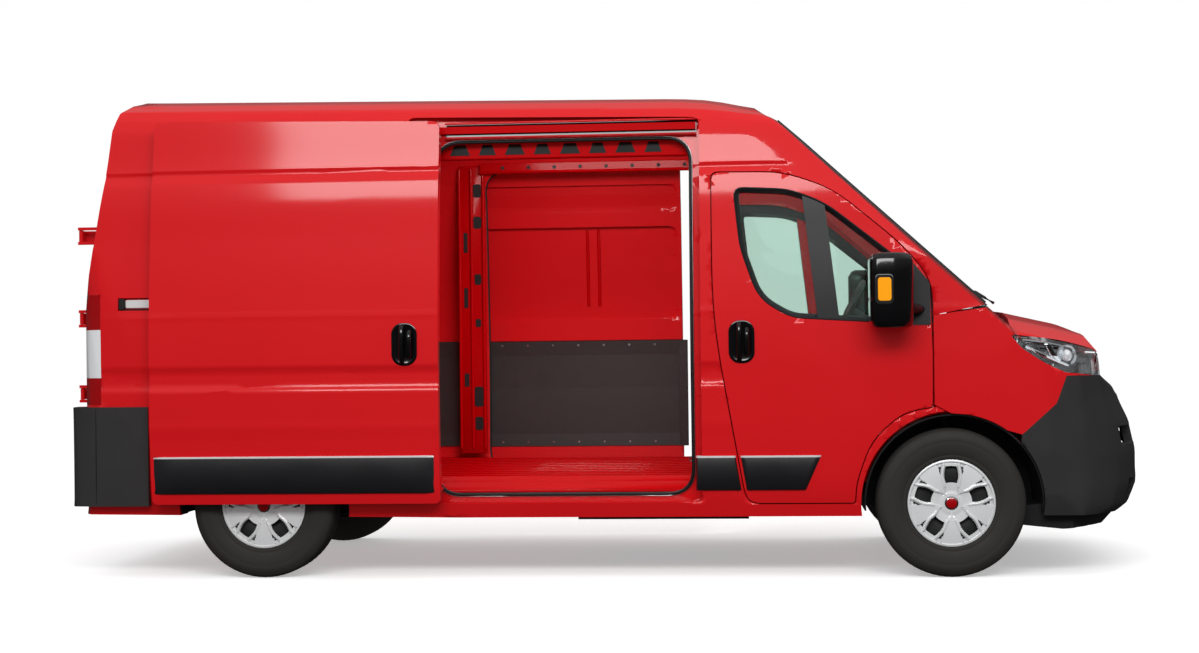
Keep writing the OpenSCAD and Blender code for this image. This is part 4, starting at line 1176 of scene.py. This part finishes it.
@dataclass
class Wheel:
    """One wheel: a treaded tyre, the steel rim behind, and its moulded cover."""

    centre: Point
    side: Side
    name: str
    body: str
    tyre_r: float = 0.365

    def tyre(self) -> None:
        """The tyre, with grooves round the tread and rings on the flank."""
        r = self.tyre_r
        half_profile = [(0.206, 0.0), (0.2105, 0.055), (0.214, 0.083), (0.221, 0.091), (0.228, 0.0935),
                        (0.236, 0.0925),
                        (0.243, 0.0955), (0.262, 0.1005), (0.284, 0.1030), (0.300, 0.1034), (0.306, 0.1026),
                        (0.309, 0.1034),
                        (0.326, 0.1010), (0.337, 0.0975), (0.3405, 0.0955), (0.345, 0.0935), (0.3535, 0.0885),
                        (0.3600, 0.0800),
                        (0.3635, 0.068), (0.3642, 0.060), (0.3560, 0.0585), (0.3560, 0.0515), (0.3648, 0.050),
                        (r, 0.026), (0.3560, 0.025), (0.3560, 0.017), (r, 0.016)]
        profile = half_profile + [(a, -b) for a, b in reversed(half_profile)]
        made = piece("rubber_" + self.name, *lathe(profile, self.centre, 128, self.side.value), TYRE,
                     self.body, "tyre", 28.0)
        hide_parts("tyre_" + self.name)

    def lugs(self) -> None:
        """Shoulder blocks that run round the edge of the tread."""
        c, parts = self.centre, []
        for k in range(72):
            t = 2 * math.pi * k / 72
            for s in (1, -1):
                ring = []
                for dt in (-0.028, 0.028):
                    for rr, yy in ((0.3445, 0.0935), (0.3648, 0.062), (0.3560, 0.060), (0.340, 0.088)):
                        a = t + dt
                        ring.append((c[0] + rr * math.cos(a), c[1] + s * yy, c[2] + rr * math.sin(a)))
                parts.append((ring, [(0, 1, 2, 3), (4, 5, 6, 7), (0, 1, 5, 4), (1, 2, 6, 5), (2, 3, 7, 6),
                                     (3, 0, 4, 7)]))
        piece("tread_blocks_" + self.name, *join_lists(parts), TYRE, self.body, "tyre", 30.0)

    def cover(self) -> None:
        """The wheel cover: five broad spokes, each with a small slot, and windows between them."""
        c, s = self.centre, self.side.value
        radii = np.concatenate([np.linspace(0.030, 0.075, 6), np.linspace(0.080, 0.200, 41),
                                [0.206, 0.214, 0.222, 0.2265]])
        steps, fifth = 360, 2 * math.pi / 5
        verts = []

        def across_window(t: float, r: float) -> float:
            """Distance from the middle line of the nearest window."""
            turn = (t - math.pi / 2) % fifth
            return min(turn, fifth - turn) * r

        def half_window(r: float) -> float:
            """Half width of a window at a radius."""
            return 0.028 + 0.008 * math.sin(math.pi * min(1.0, max(0.0, (r - 0.100) / 0.086)))

        def depth(r: float, off: float) -> float:
            """Distance of the cover's face outside the wheel's middle plane."""
            bowl = 0.078 + 0.008 * math.sin(math.pi * min(1.0, max(0.0, (r - 0.03) / 0.19)))
            if r > 0.2:
                return 0.0855 - max(0.0, r - 0.212) * 0.9
            fin = half_window(r) + 0.008
            ridge = 0.0045 * math.exp(-((off - fin) / 0.0055) ** 2) if 0.085 < r < 0.196 else 0.0
            well = 0.006 if off < fin - 0.004 and r > 0.05 else 0.0
            pocket = 0.008 if r > 0.150 and fin + 0.006 < off < fin + 0.006 + 0.55 * (r - 0.142) else 0.0
            return bowl + ridge - well - pocket

        for r in radii:
            for k in range(steps):
                t = 2 * math.pi * k / steps
                verts.append((c[0] + r * math.cos(t), c[1] + s * depth(r, across_window(t, r)),
                              c[2] + r * math.sin(t)))
        faces = []
        for j in range(len(radii) - 1):
            r = 0.5 * (radii[j] + radii[j + 1])
            for k in range(steps):
                off = across_window(2 * math.pi * (k + 0.5) / steps, r)
                window = 0.102 < r < 0.182 and off < half_window(r)
                start = half_window(r) + 0.017
                slot = 0.150 < r < 0.186 and start < off < start + 0.52 * (r - 0.148)
                if not (window or slot):
                    m = (k + 1) % steps
                    faces.append((j * steps + k, j * steps + m, (j + 1) * steps + m, (j + 1) * steps + k))
        mesh = bpy.data.meshes.new("cover")
        mesh.from_pydata(verts, [], faces)
        host = bpy.data.objects.new("cover_host", mesh)
        bpy.context.scene.collection.objects.link(host)
        thick = host.modifiers.new("wall", "SOLIDIFY")
        thick.thickness, thick.offset = 0.006, 0.0
        name = "wheel_cover_" + self.name
        finish_piece(name, evaluated_mesh(host, name), SILVER_COVER_AND_HIGHLIGHT, self.body, 40.0)
        cap = lathe([(0.0005, 0.080), (0.031, 0.080), (0.034, 0.084), (0.031, 0.088), (0.0005, 0.090)], c, 40,
                    s)
        piece("cap_rim_" + self.name, *cap, CHROME, self.body, "rim", 50.0)
        disc = lathe([(0.0005, 0.084), (0.024, 0.084), (0.026, 0.0895), (0.018, 0.0925), (0.0005, 0.0935)], c,
                     40, s)
        piece("cap_" + self.name, *disc, RED_LENS, self.body, "rim", 50.0)

    def rim(self) -> None:
        """The dark steel rim that shows through the cover's windows."""
        c, s = self.centre, self.side.value
        bowl = [(0.0325, 0.040), (0.09, 0.043), (0.12, 0.055), (0.185, 0.058), (0.1995, 0.050),
                (0.2045, 0.078),
                (0.2165, 0.0805), (0.2185, 0.086), (0.2140, 0.0868), (0.2085, 0.0830), (0.2010, 0.0815),
                (0.2055, 0.0), (0.2075, -0.082),
                (0.2010, -0.082), (0.1955, 0.0), (0.1930, 0.040), (0.12, 0.047), (0.09, 0.0), (0.0325, 0.0)]
        made = piece("steel_rim_" + self.name, *lathe(bowl, c, 96, s), CHASSIS, self.body, "rim", 35.0)
        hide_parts("rim_" + self.name)

    def build(self) -> None:
        """Makes the wheel."""
        self.tyre()
        self.lugs()
        self.rim()
        self.cover()


@dataclass
class Lamps:
    """Headlamps and tail lamps."""

    def headlamps(self) -> None:
        """Clear covers over dark housings with bright reflectors."""
        src = bmesh.new()
        src.from_mesh(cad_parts["headlamps"].data)
        bmesh.ops.remove_doubles(src, verts=src.verts, dist=SAME_CAD_CORNER)
        outer = []
        for f in src.faces:
            n = f.normal
            side = 1 if f.calc_center_median().y > 0 else -1
            flat_cut = abs(n.y) < 0.02 and n.x < 0.7
            faces_in = n.y * side < -0.02
            if not flat_cut and not faces_in and (n.x > 0.1 or n.y * side > 0.3 or n.z > 0.3):
                outer.append(f)
        bmesh.ops.delete(src, geom=[f for f in src.faces if f not in set(outer)], context="FACES")
        for level in np.arange(2.05, 2.62, 0.03):
            cut(src, (level, 0, 0), (1, 0, 0))
        for v in src.verts:
            v.co = bend(v.co)
        lens = bpy.data.meshes.new("lens")
        src.to_mesh(lens)
        src.free()
        clear = self.thicken(lens, "headlamp_lens", 0.003, 0.0)
        finish_piece("headlamp_lens", clear, LENS, "body", 40.0, turn=False)
        back = self.thicken(lens, "headlamp_housing", 0.004, 0.040)
        made = finish_piece("headlamp_housing", back, GLOSS_BLACK_AND_SHADE, "body", 40.0, turn=False)
        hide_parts("headlamps")

    def thicken(self, mesh: bpy.types.Mesh, name: str, wall: float, sink: float) -> bpy.types.Mesh:
        """Makes a closed sheet from an open one, set below its surface.

        Args:
            mesh: The open sheet.
            name: The new mesh's name.
            wall: The sheet's thickness.
            sink: How far below the surface it lies.

        Returns:
            The closed mesh.
        """
        copy = mesh.copy()
        host = bpy.data.objects.new(name + "_host", copy)
        bpy.context.scene.collection.objects.link(host)
        if sink:
            first = host.modifiers.new("sink", "DISPLACE")
            first.strength, first.mid_level = -sink, 0.0
        thick = host.modifiers.new("wall", "SOLIDIFY")
        thick.thickness, thick.offset = wall, -1.0
        return evaluated_mesh(host, name)

    def optics(self) -> None:
        """Reflector bowls, projector and the bright lower blade in each headlamp."""
        for side in Side:
            s = side.value
            parts = []
            for x, y, z, r in ((2.330, 0.905, 1.083, 0.050), (2.440, 0.815, 1.045, 0.036)):
                bowl = lathe([(0.001, -0.020), (r * 0.6, -0.012), (r * 0.95, 0.010), (r, 0.014),
                              (r * 1.06, 0.012),
                              (r * 0.95, -0.004), (r * 0.6, -0.020), (0.001, -0.026)], (x, s * y, z), 36, s)
                parts.append(bowl)
            blade = tube([(2.120, s * 0.955, 1.128), (2.220, s * 0.945, 1.082), (2.330, s * 0.915, 1.032),
                          (2.440, s * 0.850, 1.012)], 0.011, sides=10)
            brow = tube([(2.110, s * 0.945, 1.158), (2.230, s * 0.930, 1.142), (2.340, s * 0.885, 1.118),
                         (2.450, s * 0.80, 1.070)],
                        0.010, sides=10)
            fin = tube([(2.235, s * 0.950, 1.135), (2.255, s * 0.944, 1.095), (2.290, s * 0.930, 1.055)],
                       0.014, sides=10, flat=0.5)
            verts, faces = join_lists(parts + [blade, brow, fin])
            piece("headlamp_reflectors_" + side.word, [tuple(bend(v)) for v in verts], faces, CHROME, "body",
                  "clear_lens", 50.0)
            ball = lathe([(0.0005, 0.024), (0.015, 0.020), (0.027, 0.008), (0.030, 0.0), (0.0005, -0.004)],
                         (2.330, s * 0.905, 1.083), 32, s)
            piece("headlamp_projector_" + side.word, [tuple(bend(v)) for v in ball[0]], ball[1], WHITE_LENS,
                  "body", "clear_lens", 60.0)

    def tail(self) -> None:
        """Red tail lamps with a clear band."""
        for index, (low, high, finish) in enumerate(((0.0, 1.023, RED_LENS), (1.023, 1.269, WHITE_LENS),
                                                     (1.269, 3.0, RED_LENS))):
            work = bmesh.new()
            work.from_mesh(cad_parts["tail_lamps"].data)
            bmesh.ops.remove_doubles(work, verts=work.verts, dist=SAME_CAD_CORNER)
            for z, up in ((low, -1), (high, 1)):
                rim = cut(work, (0, 0, z), (0, 0, up), clear_outer=True)
                edges = [e for e in rim["geom_cut"] if isinstance(e, bmesh.types.BMEdge)]
                if edges:
                    bmesh.ops.holes_fill(work, edges=edges, sides=0)
            mesh = bpy.data.meshes.new("tail")
            work.to_mesh(mesh)
            work.free()
            made = finish_piece(f"tail_lamp_band_{index}", mesh, finish, "body", 35.0)
            if index == 0:
                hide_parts("tail_lamps")

    def build(self) -> None:
        """Makes all lamps."""
        self.headlamps()
        self.optics()
        self.tail()


@dataclass
class Cab:
    """Seats, dashboard and steering wheel."""

    def cushion(self, name: str, outline: Outline, y0: float, y1: float, crown: float) -> bpy.types.Object:
        """A stuffed seat part: a section along X and Z, swept across and crowned.

        Args:
            name: The piece's name.
            outline: Its section as (x, z) points.
            y0: One side.
            y1: The other side.
            crown: How much narrower the section is at its sides.

        Returns:
            The cushion.
        """
        ring = densify(outline, 0.03)
        n, rows = len(ring), 14
        cx = sum(p[0] for p in ring) / n
        cz = sum(p[1] for p in ring) / n
        verts = []
        for k in range(rows + 1):
            t = k / rows
            edge = abs(2 * t - 1)
            y = y0 + (y1 - y0) * t
            draw = crown * edge**4 + 0.012 * math.exp(-((edge - 0.62) / 0.04) ** 2)
            for x, z in ring:
                away = math.hypot(x - cx, z - cz)
                k2 = max(0.0, 1 - draw / max(away, 1e-6))
                verts.append((cx + (x - cx) * k2, y, cz + (z - cz) * k2))
        made = piece(name, verts, loft_faces(n, rows), CLOTH, "body", "cloth", 70.0)
        return made

    def seats(self) -> None:
        """A driver's seat and a double passenger seat."""
        first = None
        for word, x, y0, y1 in (("driver", 0.7915, 0.232, 0.728), ("passenger", 0.7915, -0.758, 0.098)):
            back = eased([(x - 0.105, 0.872, 0.04), (x + 0.055, 0.930, 0.05), (x + 0.030, 1.120, 0.1),
                          (x - 0.030, 1.320, 0.08),
                          (x - 0.060, 1.345, 0.04), (x - 0.165, 1.345, 0.05)], 5)
            pad = eased([(x + 0.020, 0.845, 0.04), (x + 0.510, 0.852, 0.05), (x + 0.516, 0.935, 0.05),
                         (x + 0.450, 0.952, 0.08),
                         (x + 0.070, 0.945, 0.06)], 5)
            rest = eased([(x - 0.158, 1.372, 0.03), (x - 0.075, 1.372, 0.03), (x - 0.068, 1.530, 0.04),
                          (x - 0.150, 1.532, 0.04)], 5)
            a = self.cushion("seat_back_" + word, back, y0, y1, 0.045)
            self.cushion("seat_cushion_" + word, pad, y0, y1, 0.030)
            middles = ([0.5 * (y0 + y1)] if word == "driver" else [y0 + 0.21, y1 - 0.21])
            for i, y in enumerate(middles):
                self.cushion(f"head_rest_{word}_{i}", rest, y - 0.125, y + 0.125, 0.035)
                piece(f"head_rest_posts_{word}_{i}",
                      *join_lists([tube([(x - 0.115, y + dy, 1.30), (x - 0.115, y + dy, 1.40)], 0.006)
                      for dy in (-0.06, 0.06)]), STEEL_AND_HIGHLIGHT, "body", "bright_steel")
            box = eased([(x + 0.022, 0.497, 0), (x + 0.438, 0.497, 0), (x + 0.452, 0.846, 0.02),
                         (x + 0.012, 0.846, 0.02)], 3)
            piece("seat_base_" + word, *prism(box, y0 + 0.062, y1 - 0.062, 0.006), DASH, "body",
                  "dash_plastic")
            first = first or a
        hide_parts("seats")

    def wheel(self) -> None:
        """The steering wheel: padded rim, three spokes, boss."""
        c = Vector((1.3165, 0.430, 1.330))
        axis = Vector((0.8829, 0.0, -0.4695))
        u, v = Vector((0, 1, 0)), axis.cross(Vector((0, 1, 0)))
        rim = [c + 0.190 * (math.cos(t) * u + math.sin(t) * v) for t in np.linspace(0, 2 * math.pi, 49)[:-1]]
        parts = [tube([tuple(p) for p in rim], 0.0155, closed=True, sides=12)]
        for t in (math.pi / 2, math.pi * 7 / 6, math.pi * 11 / 6):
            d = math.cos(t) * u - math.sin(t) * v
            parts.append(tube([tuple(c + d * r + axis * 0.008 * (1 - r / 0.19)) for r in (0.02, 0.10, 0.186)],
                              0.020, sides=10, flat=0.35))
        boss, steps = [], 32
        for r, h in ((0.001, -0.019), (0.045, -0.017), (0.059, -0.006), (0.059, 0.012), (0.04, 0.0195),
                     (0.001, 0.0195)):
            boss.append([tuple(c + axis * h + r * (math.cos(t) * u + math.sin(t) * v))
                         for t in np.linspace(0, 2 * math.pi, steps + 1)[:-1]])
        verts = [q for ring in boss for q in ring]
        parts.append((verts, loft_faces(steps, len(boss) - 1, ends=False)))
        made = piece("steering_rim", *join_lists(parts), TRIM, "steering_wheel", "black_plastic", 60.0)
        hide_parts("steering_wheel")

    def build(self) -> None:
        """Makes the cab's fittings."""
        self.seats()
        self.wheel()
        paint_node("dashboard", DASH)


@dataclass
class LoadSpace:
    """What shows through the side opening: ribs, ply screws, floor ribs and roof rails."""

    trim: Trim

    def ribs(self) -> None:
        """Pressed ribs along the load floor."""
        parts = []
        for y in np.arange(-0.70, 0.71, 0.14):
            parts.append(prism(rounded(-1.16, 0.4945, 0.46, 0.4995, 0.002, 2), y - 0.018, y + 0.018, 0.002))
        piece("floor_ribs", *join_lists(parts), INNER_PAINT, "body", "paint")

    def screws(self) -> None:
        """Pale screw heads on the plywood of the left sliding door."""
        points = []
        for z in (0.575, 1.160):
            for x in np.arange(-1.06, 0.34, 0.155):
                y = self.trim.at(x + 0.175, z) + 0.084 - 0.0565
                points.append((x, y, z))
        scatter("ply_screws", points, 0.007, 0.004, STEEL_AND_HIGHLIGHT, "body", "Y")

    def roof_rail(self) -> None:
        """The rail over the left opening, with its row of holes drawn as black plates and discs of painted
        shade, and brackets behind the near seal.
        """
        beam = [prism(rounded(-0.82, 2.118, 0.47, 2.205, 0.006), -0.792, -0.770, 0.003),
                prism(rounded(-0.84, 2.186, 0.47, 2.250, 0.006), 0.776, 0.792, 0.003)]
        beam.append(tube([(-0.82, -0.794, 2.128), (0.47, -0.794, 2.128)], 0.008, sides=8))
        beam.append(tube([(-0.84, 0.772, 2.196), (0.47, 0.772, 2.196)], 0.008, sides=8))
        piece("cant_rails", *join_lists(beam), INNER_PAINT, "body", "paint", 40.0)
        # The cut-outs and round holes are black plates and discs on the rails, painted shade where they are
        # open.
        holes = []
        for k, x in enumerate(np.arange(-0.70, 0.42, 0.142)):
            w = 0.044 if k % 2 else 0.052
            holes.append(prism([(x - w, 2.142), (x + w, 2.142), (x + w * 0.55, 2.196), (x - w * 0.55, 2.196)],
                               -0.7935, -0.7915, 0.0))
        piece("rail_cut_outs", *join_lists(holes), SEAL_AND_SHADE, "body", "black_plastic")
        points = [(x, 0.7755, 2.222) for x in np.arange(-0.70, 0.47, 0.155)]
        scatter("rail_holes", points, 0.011, 0.003, SEAL_AND_SHADE, "body", "Y")

    def pillar(self) -> None:
        """The pressed pillar behind the opening: bright edges, and holes and slots drawn as black plates of
        painted shade.
        """
        y, back = 0.802, 0.07
        posts = [prism(rounded(-0.905 - back, 0.52, -0.745 - back, 2.24, 0.010), y, y + 0.030, 0.006)]
        for x in (-0.897, -0.826, -0.754):
            posts.append(tube([(x - back, y - 0.004, 0.55), (x - back, y - 0.004, 2.22)], 0.009, sides=10))
        piece("far_pillar", *join_lists(posts), INNER_PAINT, "body", "paint", 50.0)
        # The holes and slots are thin black plates on the pillar, painted shade where it is open.
        holes = []
        for x, z, w, h in ((-0.790, 2.090, 0.024, 0.040), (-0.790, 1.900, 0.024, 0.036),
                           (-0.790, 1.560, 0.020, 0.032),
                           (-0.790, 1.300, 0.016, 0.024), (-0.790, 0.860, 0.028, 0.060),
                           (-0.790, 0.700, 0.024, 0.040),
                           (-0.862, 1.780, 0.012, 0.060), (-0.862, 1.450, 0.012, 0.060),
                           (-0.862, 0.960, 0.014, 0.040)):
            holes.append(prism(rounded(x - back - w, z - h, x - back + w, z + h, min(w, h) * 0.6), y - 0.0015,
                               y + 0.001, 0.0))
        piece("far_pillar_holes", *join_lists(holes), SEAL_AND_SHADE, "body", "black_plastic")

    def stiffener(self) -> None:
        """The upright pressed rib in the left sliding door's main panel."""
        parts = []
        for dx in (-0.034, 0.034):
            y = [(z, self.trim.at(-0.20, z) + 0.084 - 0.0335) for z in np.linspace(1.40, 1.86, 8)]
            parts.append(tube([(-0.185 + dx, yy, z) for z, yy in y], 0.010, sides=10))
        piece("door_stiffener", *join_lists(parts), INNER_PAINT, "body", "paint", 60.0)

    def edge_ply(self) -> None:
        """The narrow ply strip on the left front pillar, beside the gap of the door."""
        piece("pillar_ply", *prism(rounded(0.330, 0.552, 0.384, 1.186, 0.004), 0.930, 0.938, 0.001), PLY,
              "body", "ply")

    def striker(self) -> None:
        """The lock striker on the front pillar of the right opening."""
        parts = [prism(rounded(0.478, 0.560, 0.483, 0.612, 0.002, 2), -0.918, -0.880, 0.001),
                 tube([(0.480, -0.905, 0.575), (0.466, -0.905, 0.575), (0.466, -0.905, 0.597),
                       (0.480, -0.905, 0.597)], 0.004)]
        piece("striker", *join_lists(parts), STEEL_AND_HIGHLIGHT, "body", "bright_steel")

    def build(self) -> None:
        """Makes the fittings of the load space."""
        self.ribs()
        self.screws()
        self.stiffener()
        self.roof_rail()
        self.pillar()
        self.edge_ply()
        self.striker()
        paint_node("linings", PLY)
        paint_node("slide_tracks", INNER_PAINT)


@dataclass
class Studio:
    """Camera, lights and floor."""

    place: Point = (0.867, -10.424, 1.174)
    yaw: float = 0.0889
    pitch: float = 0.0085
    roll: float = -0.0121
    lens: float = 56.93
    floor_half: float = 40.0
    floor_glow: float = 0.38
    ceiling_watts: float = 60.0
    near_side_watts: float = 520.0
    inside_watts: float = 22.0

    def camera(self) -> None:
        """Sets the camera low and almost square to the right side."""
        data = bpy.data.cameras.new("camera")
        data.lens, data.sensor_width, data.clip_end = self.lens, 36.0, 200.0
        cam = bpy.data.objects.new("camera", data)
        bpy.context.scene.collection.objects.link(cam)
        fwd = Vector((-math.sin(self.yaw) * math.cos(self.pitch), math.cos(self.yaw) * math.cos(self.pitch),
                      math.sin(self.pitch)))
        right = Vector((math.cos(self.yaw), math.sin(self.yaw), 0))
        up = right.cross(fwd)
        r2 = math.cos(self.roll) * right + math.sin(self.roll) * up
        u2 = -math.sin(self.roll) * right + math.cos(self.roll) * up
        turn = Matrix((r2, u2, -fwd)).transposed().to_4x4()
        cam.matrix_world = Matrix.Translation(self.place) @ turn
        bpy.context.scene.camera = cam

    def light(self, name: str, where: Point, aim: Point, size: tuple[float, float], watts: float,
              mirrored: bool = True) -> None:
        """Adds a soft rectangular light.

        Args:
            name: Its name.
            where: Its place.
            aim: The point it faces.
            size: Width and height.
            watts: Its power.
            mirrored: Whether it shows in reflections.
        """
        data = bpy.data.lights.new(name, "AREA")
        data.shape, data.size, data.size_y, data.energy = "RECTANGLE", size[0], size[1], watts
        lamp = bpy.data.objects.new(name, data)
        bpy.context.scene.collection.objects.link(lamp)
        lamp.visible_glossy = mirrored
        way = (Vector(aim) - Vector(where)).normalized()
        lamp.matrix_world = Matrix.Translation(where) @ way.to_track_quat("-Z", "Y").to_matrix().to_4x4()

    def floor(self) -> None:
        """A plain pale floor."""
        mesh = bpy.data.meshes.new("floor")
        n = self.floor_half
        mesh.from_pydata([(-n, -n, 0), (n, -n, 0), (n, n, 0), (-n, n, 0)], [], [(0, 1, 2, 3)])
        mat = bpy.data.materials.new("white_studio_floor")
        mat.use_nodes = True
        shader = mat.node_tree.nodes["Principled BSDF"]
        shader.inputs["Base Color"].default_value = linear("FAFAFA")
        shader.inputs["Roughness"].default_value = 0.7
        shader.inputs["Specular IOR Level"].default_value = 0.1
        shader.inputs["Emission Color"].default_value = (1.0, 1.0, 1.0, 1.0)
        shader.inputs["Emission Strength"].default_value = self.floor_glow
        mesh.materials.append(mat)
        thing = bpy.data.objects.new("floor", mesh)
        thing.visible_glossy = False
        thing.visible_diffuse = False
        bpy.context.scene.collection.objects.link(thing)

    def world(self) -> None:
        """A white backdrop that lights softly from above and leaves the sides dark reflections to show."""
        world = bpy.data.worlds.new("studio")
        bpy.context.scene.world = world
        world.use_nodes = True
        tree = world.node_tree
        path = add(tree, "ShaderNodeLightPath")
        way = add(tree, "ShaderNodeTexCoord")
        split = add(tree, "ShaderNodeSeparateXYZ", {"Vector": way.outputs["Generated"]})
        levels = []
        for stops in (((0.42, 0.015), (0.58, 0.035), (0.72, 0.22), (0.90, 0.42)),
                      ((0.44, 0.20), (0.54, 0.74))):
            span = add(tree, "ShaderNodeMapRange",
                       {"Value": split.outputs["Z"], "From Min": -1.0, "From Max": 1.0})
            ramp = add(tree, "ShaderNodeValToRGB", {"Fac": span.outputs["Result"]})
            band = ramp.color_ramp
            while len(band.elements) < len(stops):
                band.elements.new(0.5)
            for element, (at, level) in zip(band.elements, stops):
                element.position = at
                element.color = (level, level, level, 1.0)
            levels.append(ramp.outputs["Color"])
        bounce = add(tree, "ShaderNodeMix", {"Factor": path.outputs["Is Glossy Ray"]}, data_type="RGBA")
        tree.links.new(levels[1], bounce.inputs[6])
        tree.links.new(levels[0], bounce.inputs[7])
        direct = add(tree, "ShaderNodeMath",
                     {0: path.outputs["Is Camera Ray"], 1: path.outputs["Is Transmission Ray"]},
                     operation="MAXIMUM")
        whole = add(tree, "ShaderNodeMix", {"Factor": direct.outputs[0]}, data_type="RGBA")
        tree.links.new(bounce.outputs[2], whole.inputs[6])
        whole.inputs[7].default_value = (1.0, 1.0, 1.0, 1.0)
        tree.links.new(whole.outputs[2], tree.nodes["Background"].inputs["Color"])

    def build(self) -> None:
        """Sets the studio."""
        self.camera()
        self.floor()
        self.world()
        self.light("ceiling", (0.0, -1.0, 7.5), (0, 0, 0), (9.0, 6.0), self.ceiling_watts, mirrored=False)
        self.light("near_side", (0.5, -9.0, 6.0), (0.0, 0.0, 1.0), (9.0, 2.4), self.near_side_watts)
        self.light("inside", (-0.15, -0.30, 2.36), (-0.15, 0.10, 0.5), (1.0, 0.7), self.inside_watts)
        scene = bpy.context.scene
        scene.view_settings.view_transform = "Standard"
        scene.view_settings.look = "None"


def main() -> None:
    """Builds the van and its studio."""
    logging.basicConfig(level=logging.INFO, format="%(message)s")
    flank = Flank()
    shell = Shell(flank)
    shell.build()
    trim = Trim(flank, shell)
    trim.build()
    Glazing(flank, trim).build()
    Lamps().build()
    for axle, x, y in (("front", 1.7515, 0.905), ("rear", -1.6985, 0.890)):
        for side in Side:
            name = f"{axle}_{side.word}"
            Wheel((x, side.value * y, 0.365), side, name, "wheel_" + name).build()
    Cab().build()
    LoadSpace(trim).build()
    for node, finish in {"hinge_pins": PAINT, "arch_liners": TRIM, "chassis_rails": CHASSIS, "engine": CAST,
                         "front_suspension": CHASSIS, "rear_axle": CHASSIS, "exhaust": STEEL_AND_HIGHLIGHT,
                         "fuel_tank": TRIM,
                         "knuckle_right": CAST, "knuckle_left": CAST, "side_mouldings": TRIM}.items():
        paint_node(node, finish)
    Studio().build()


if __name__ == "__main__":
    main()
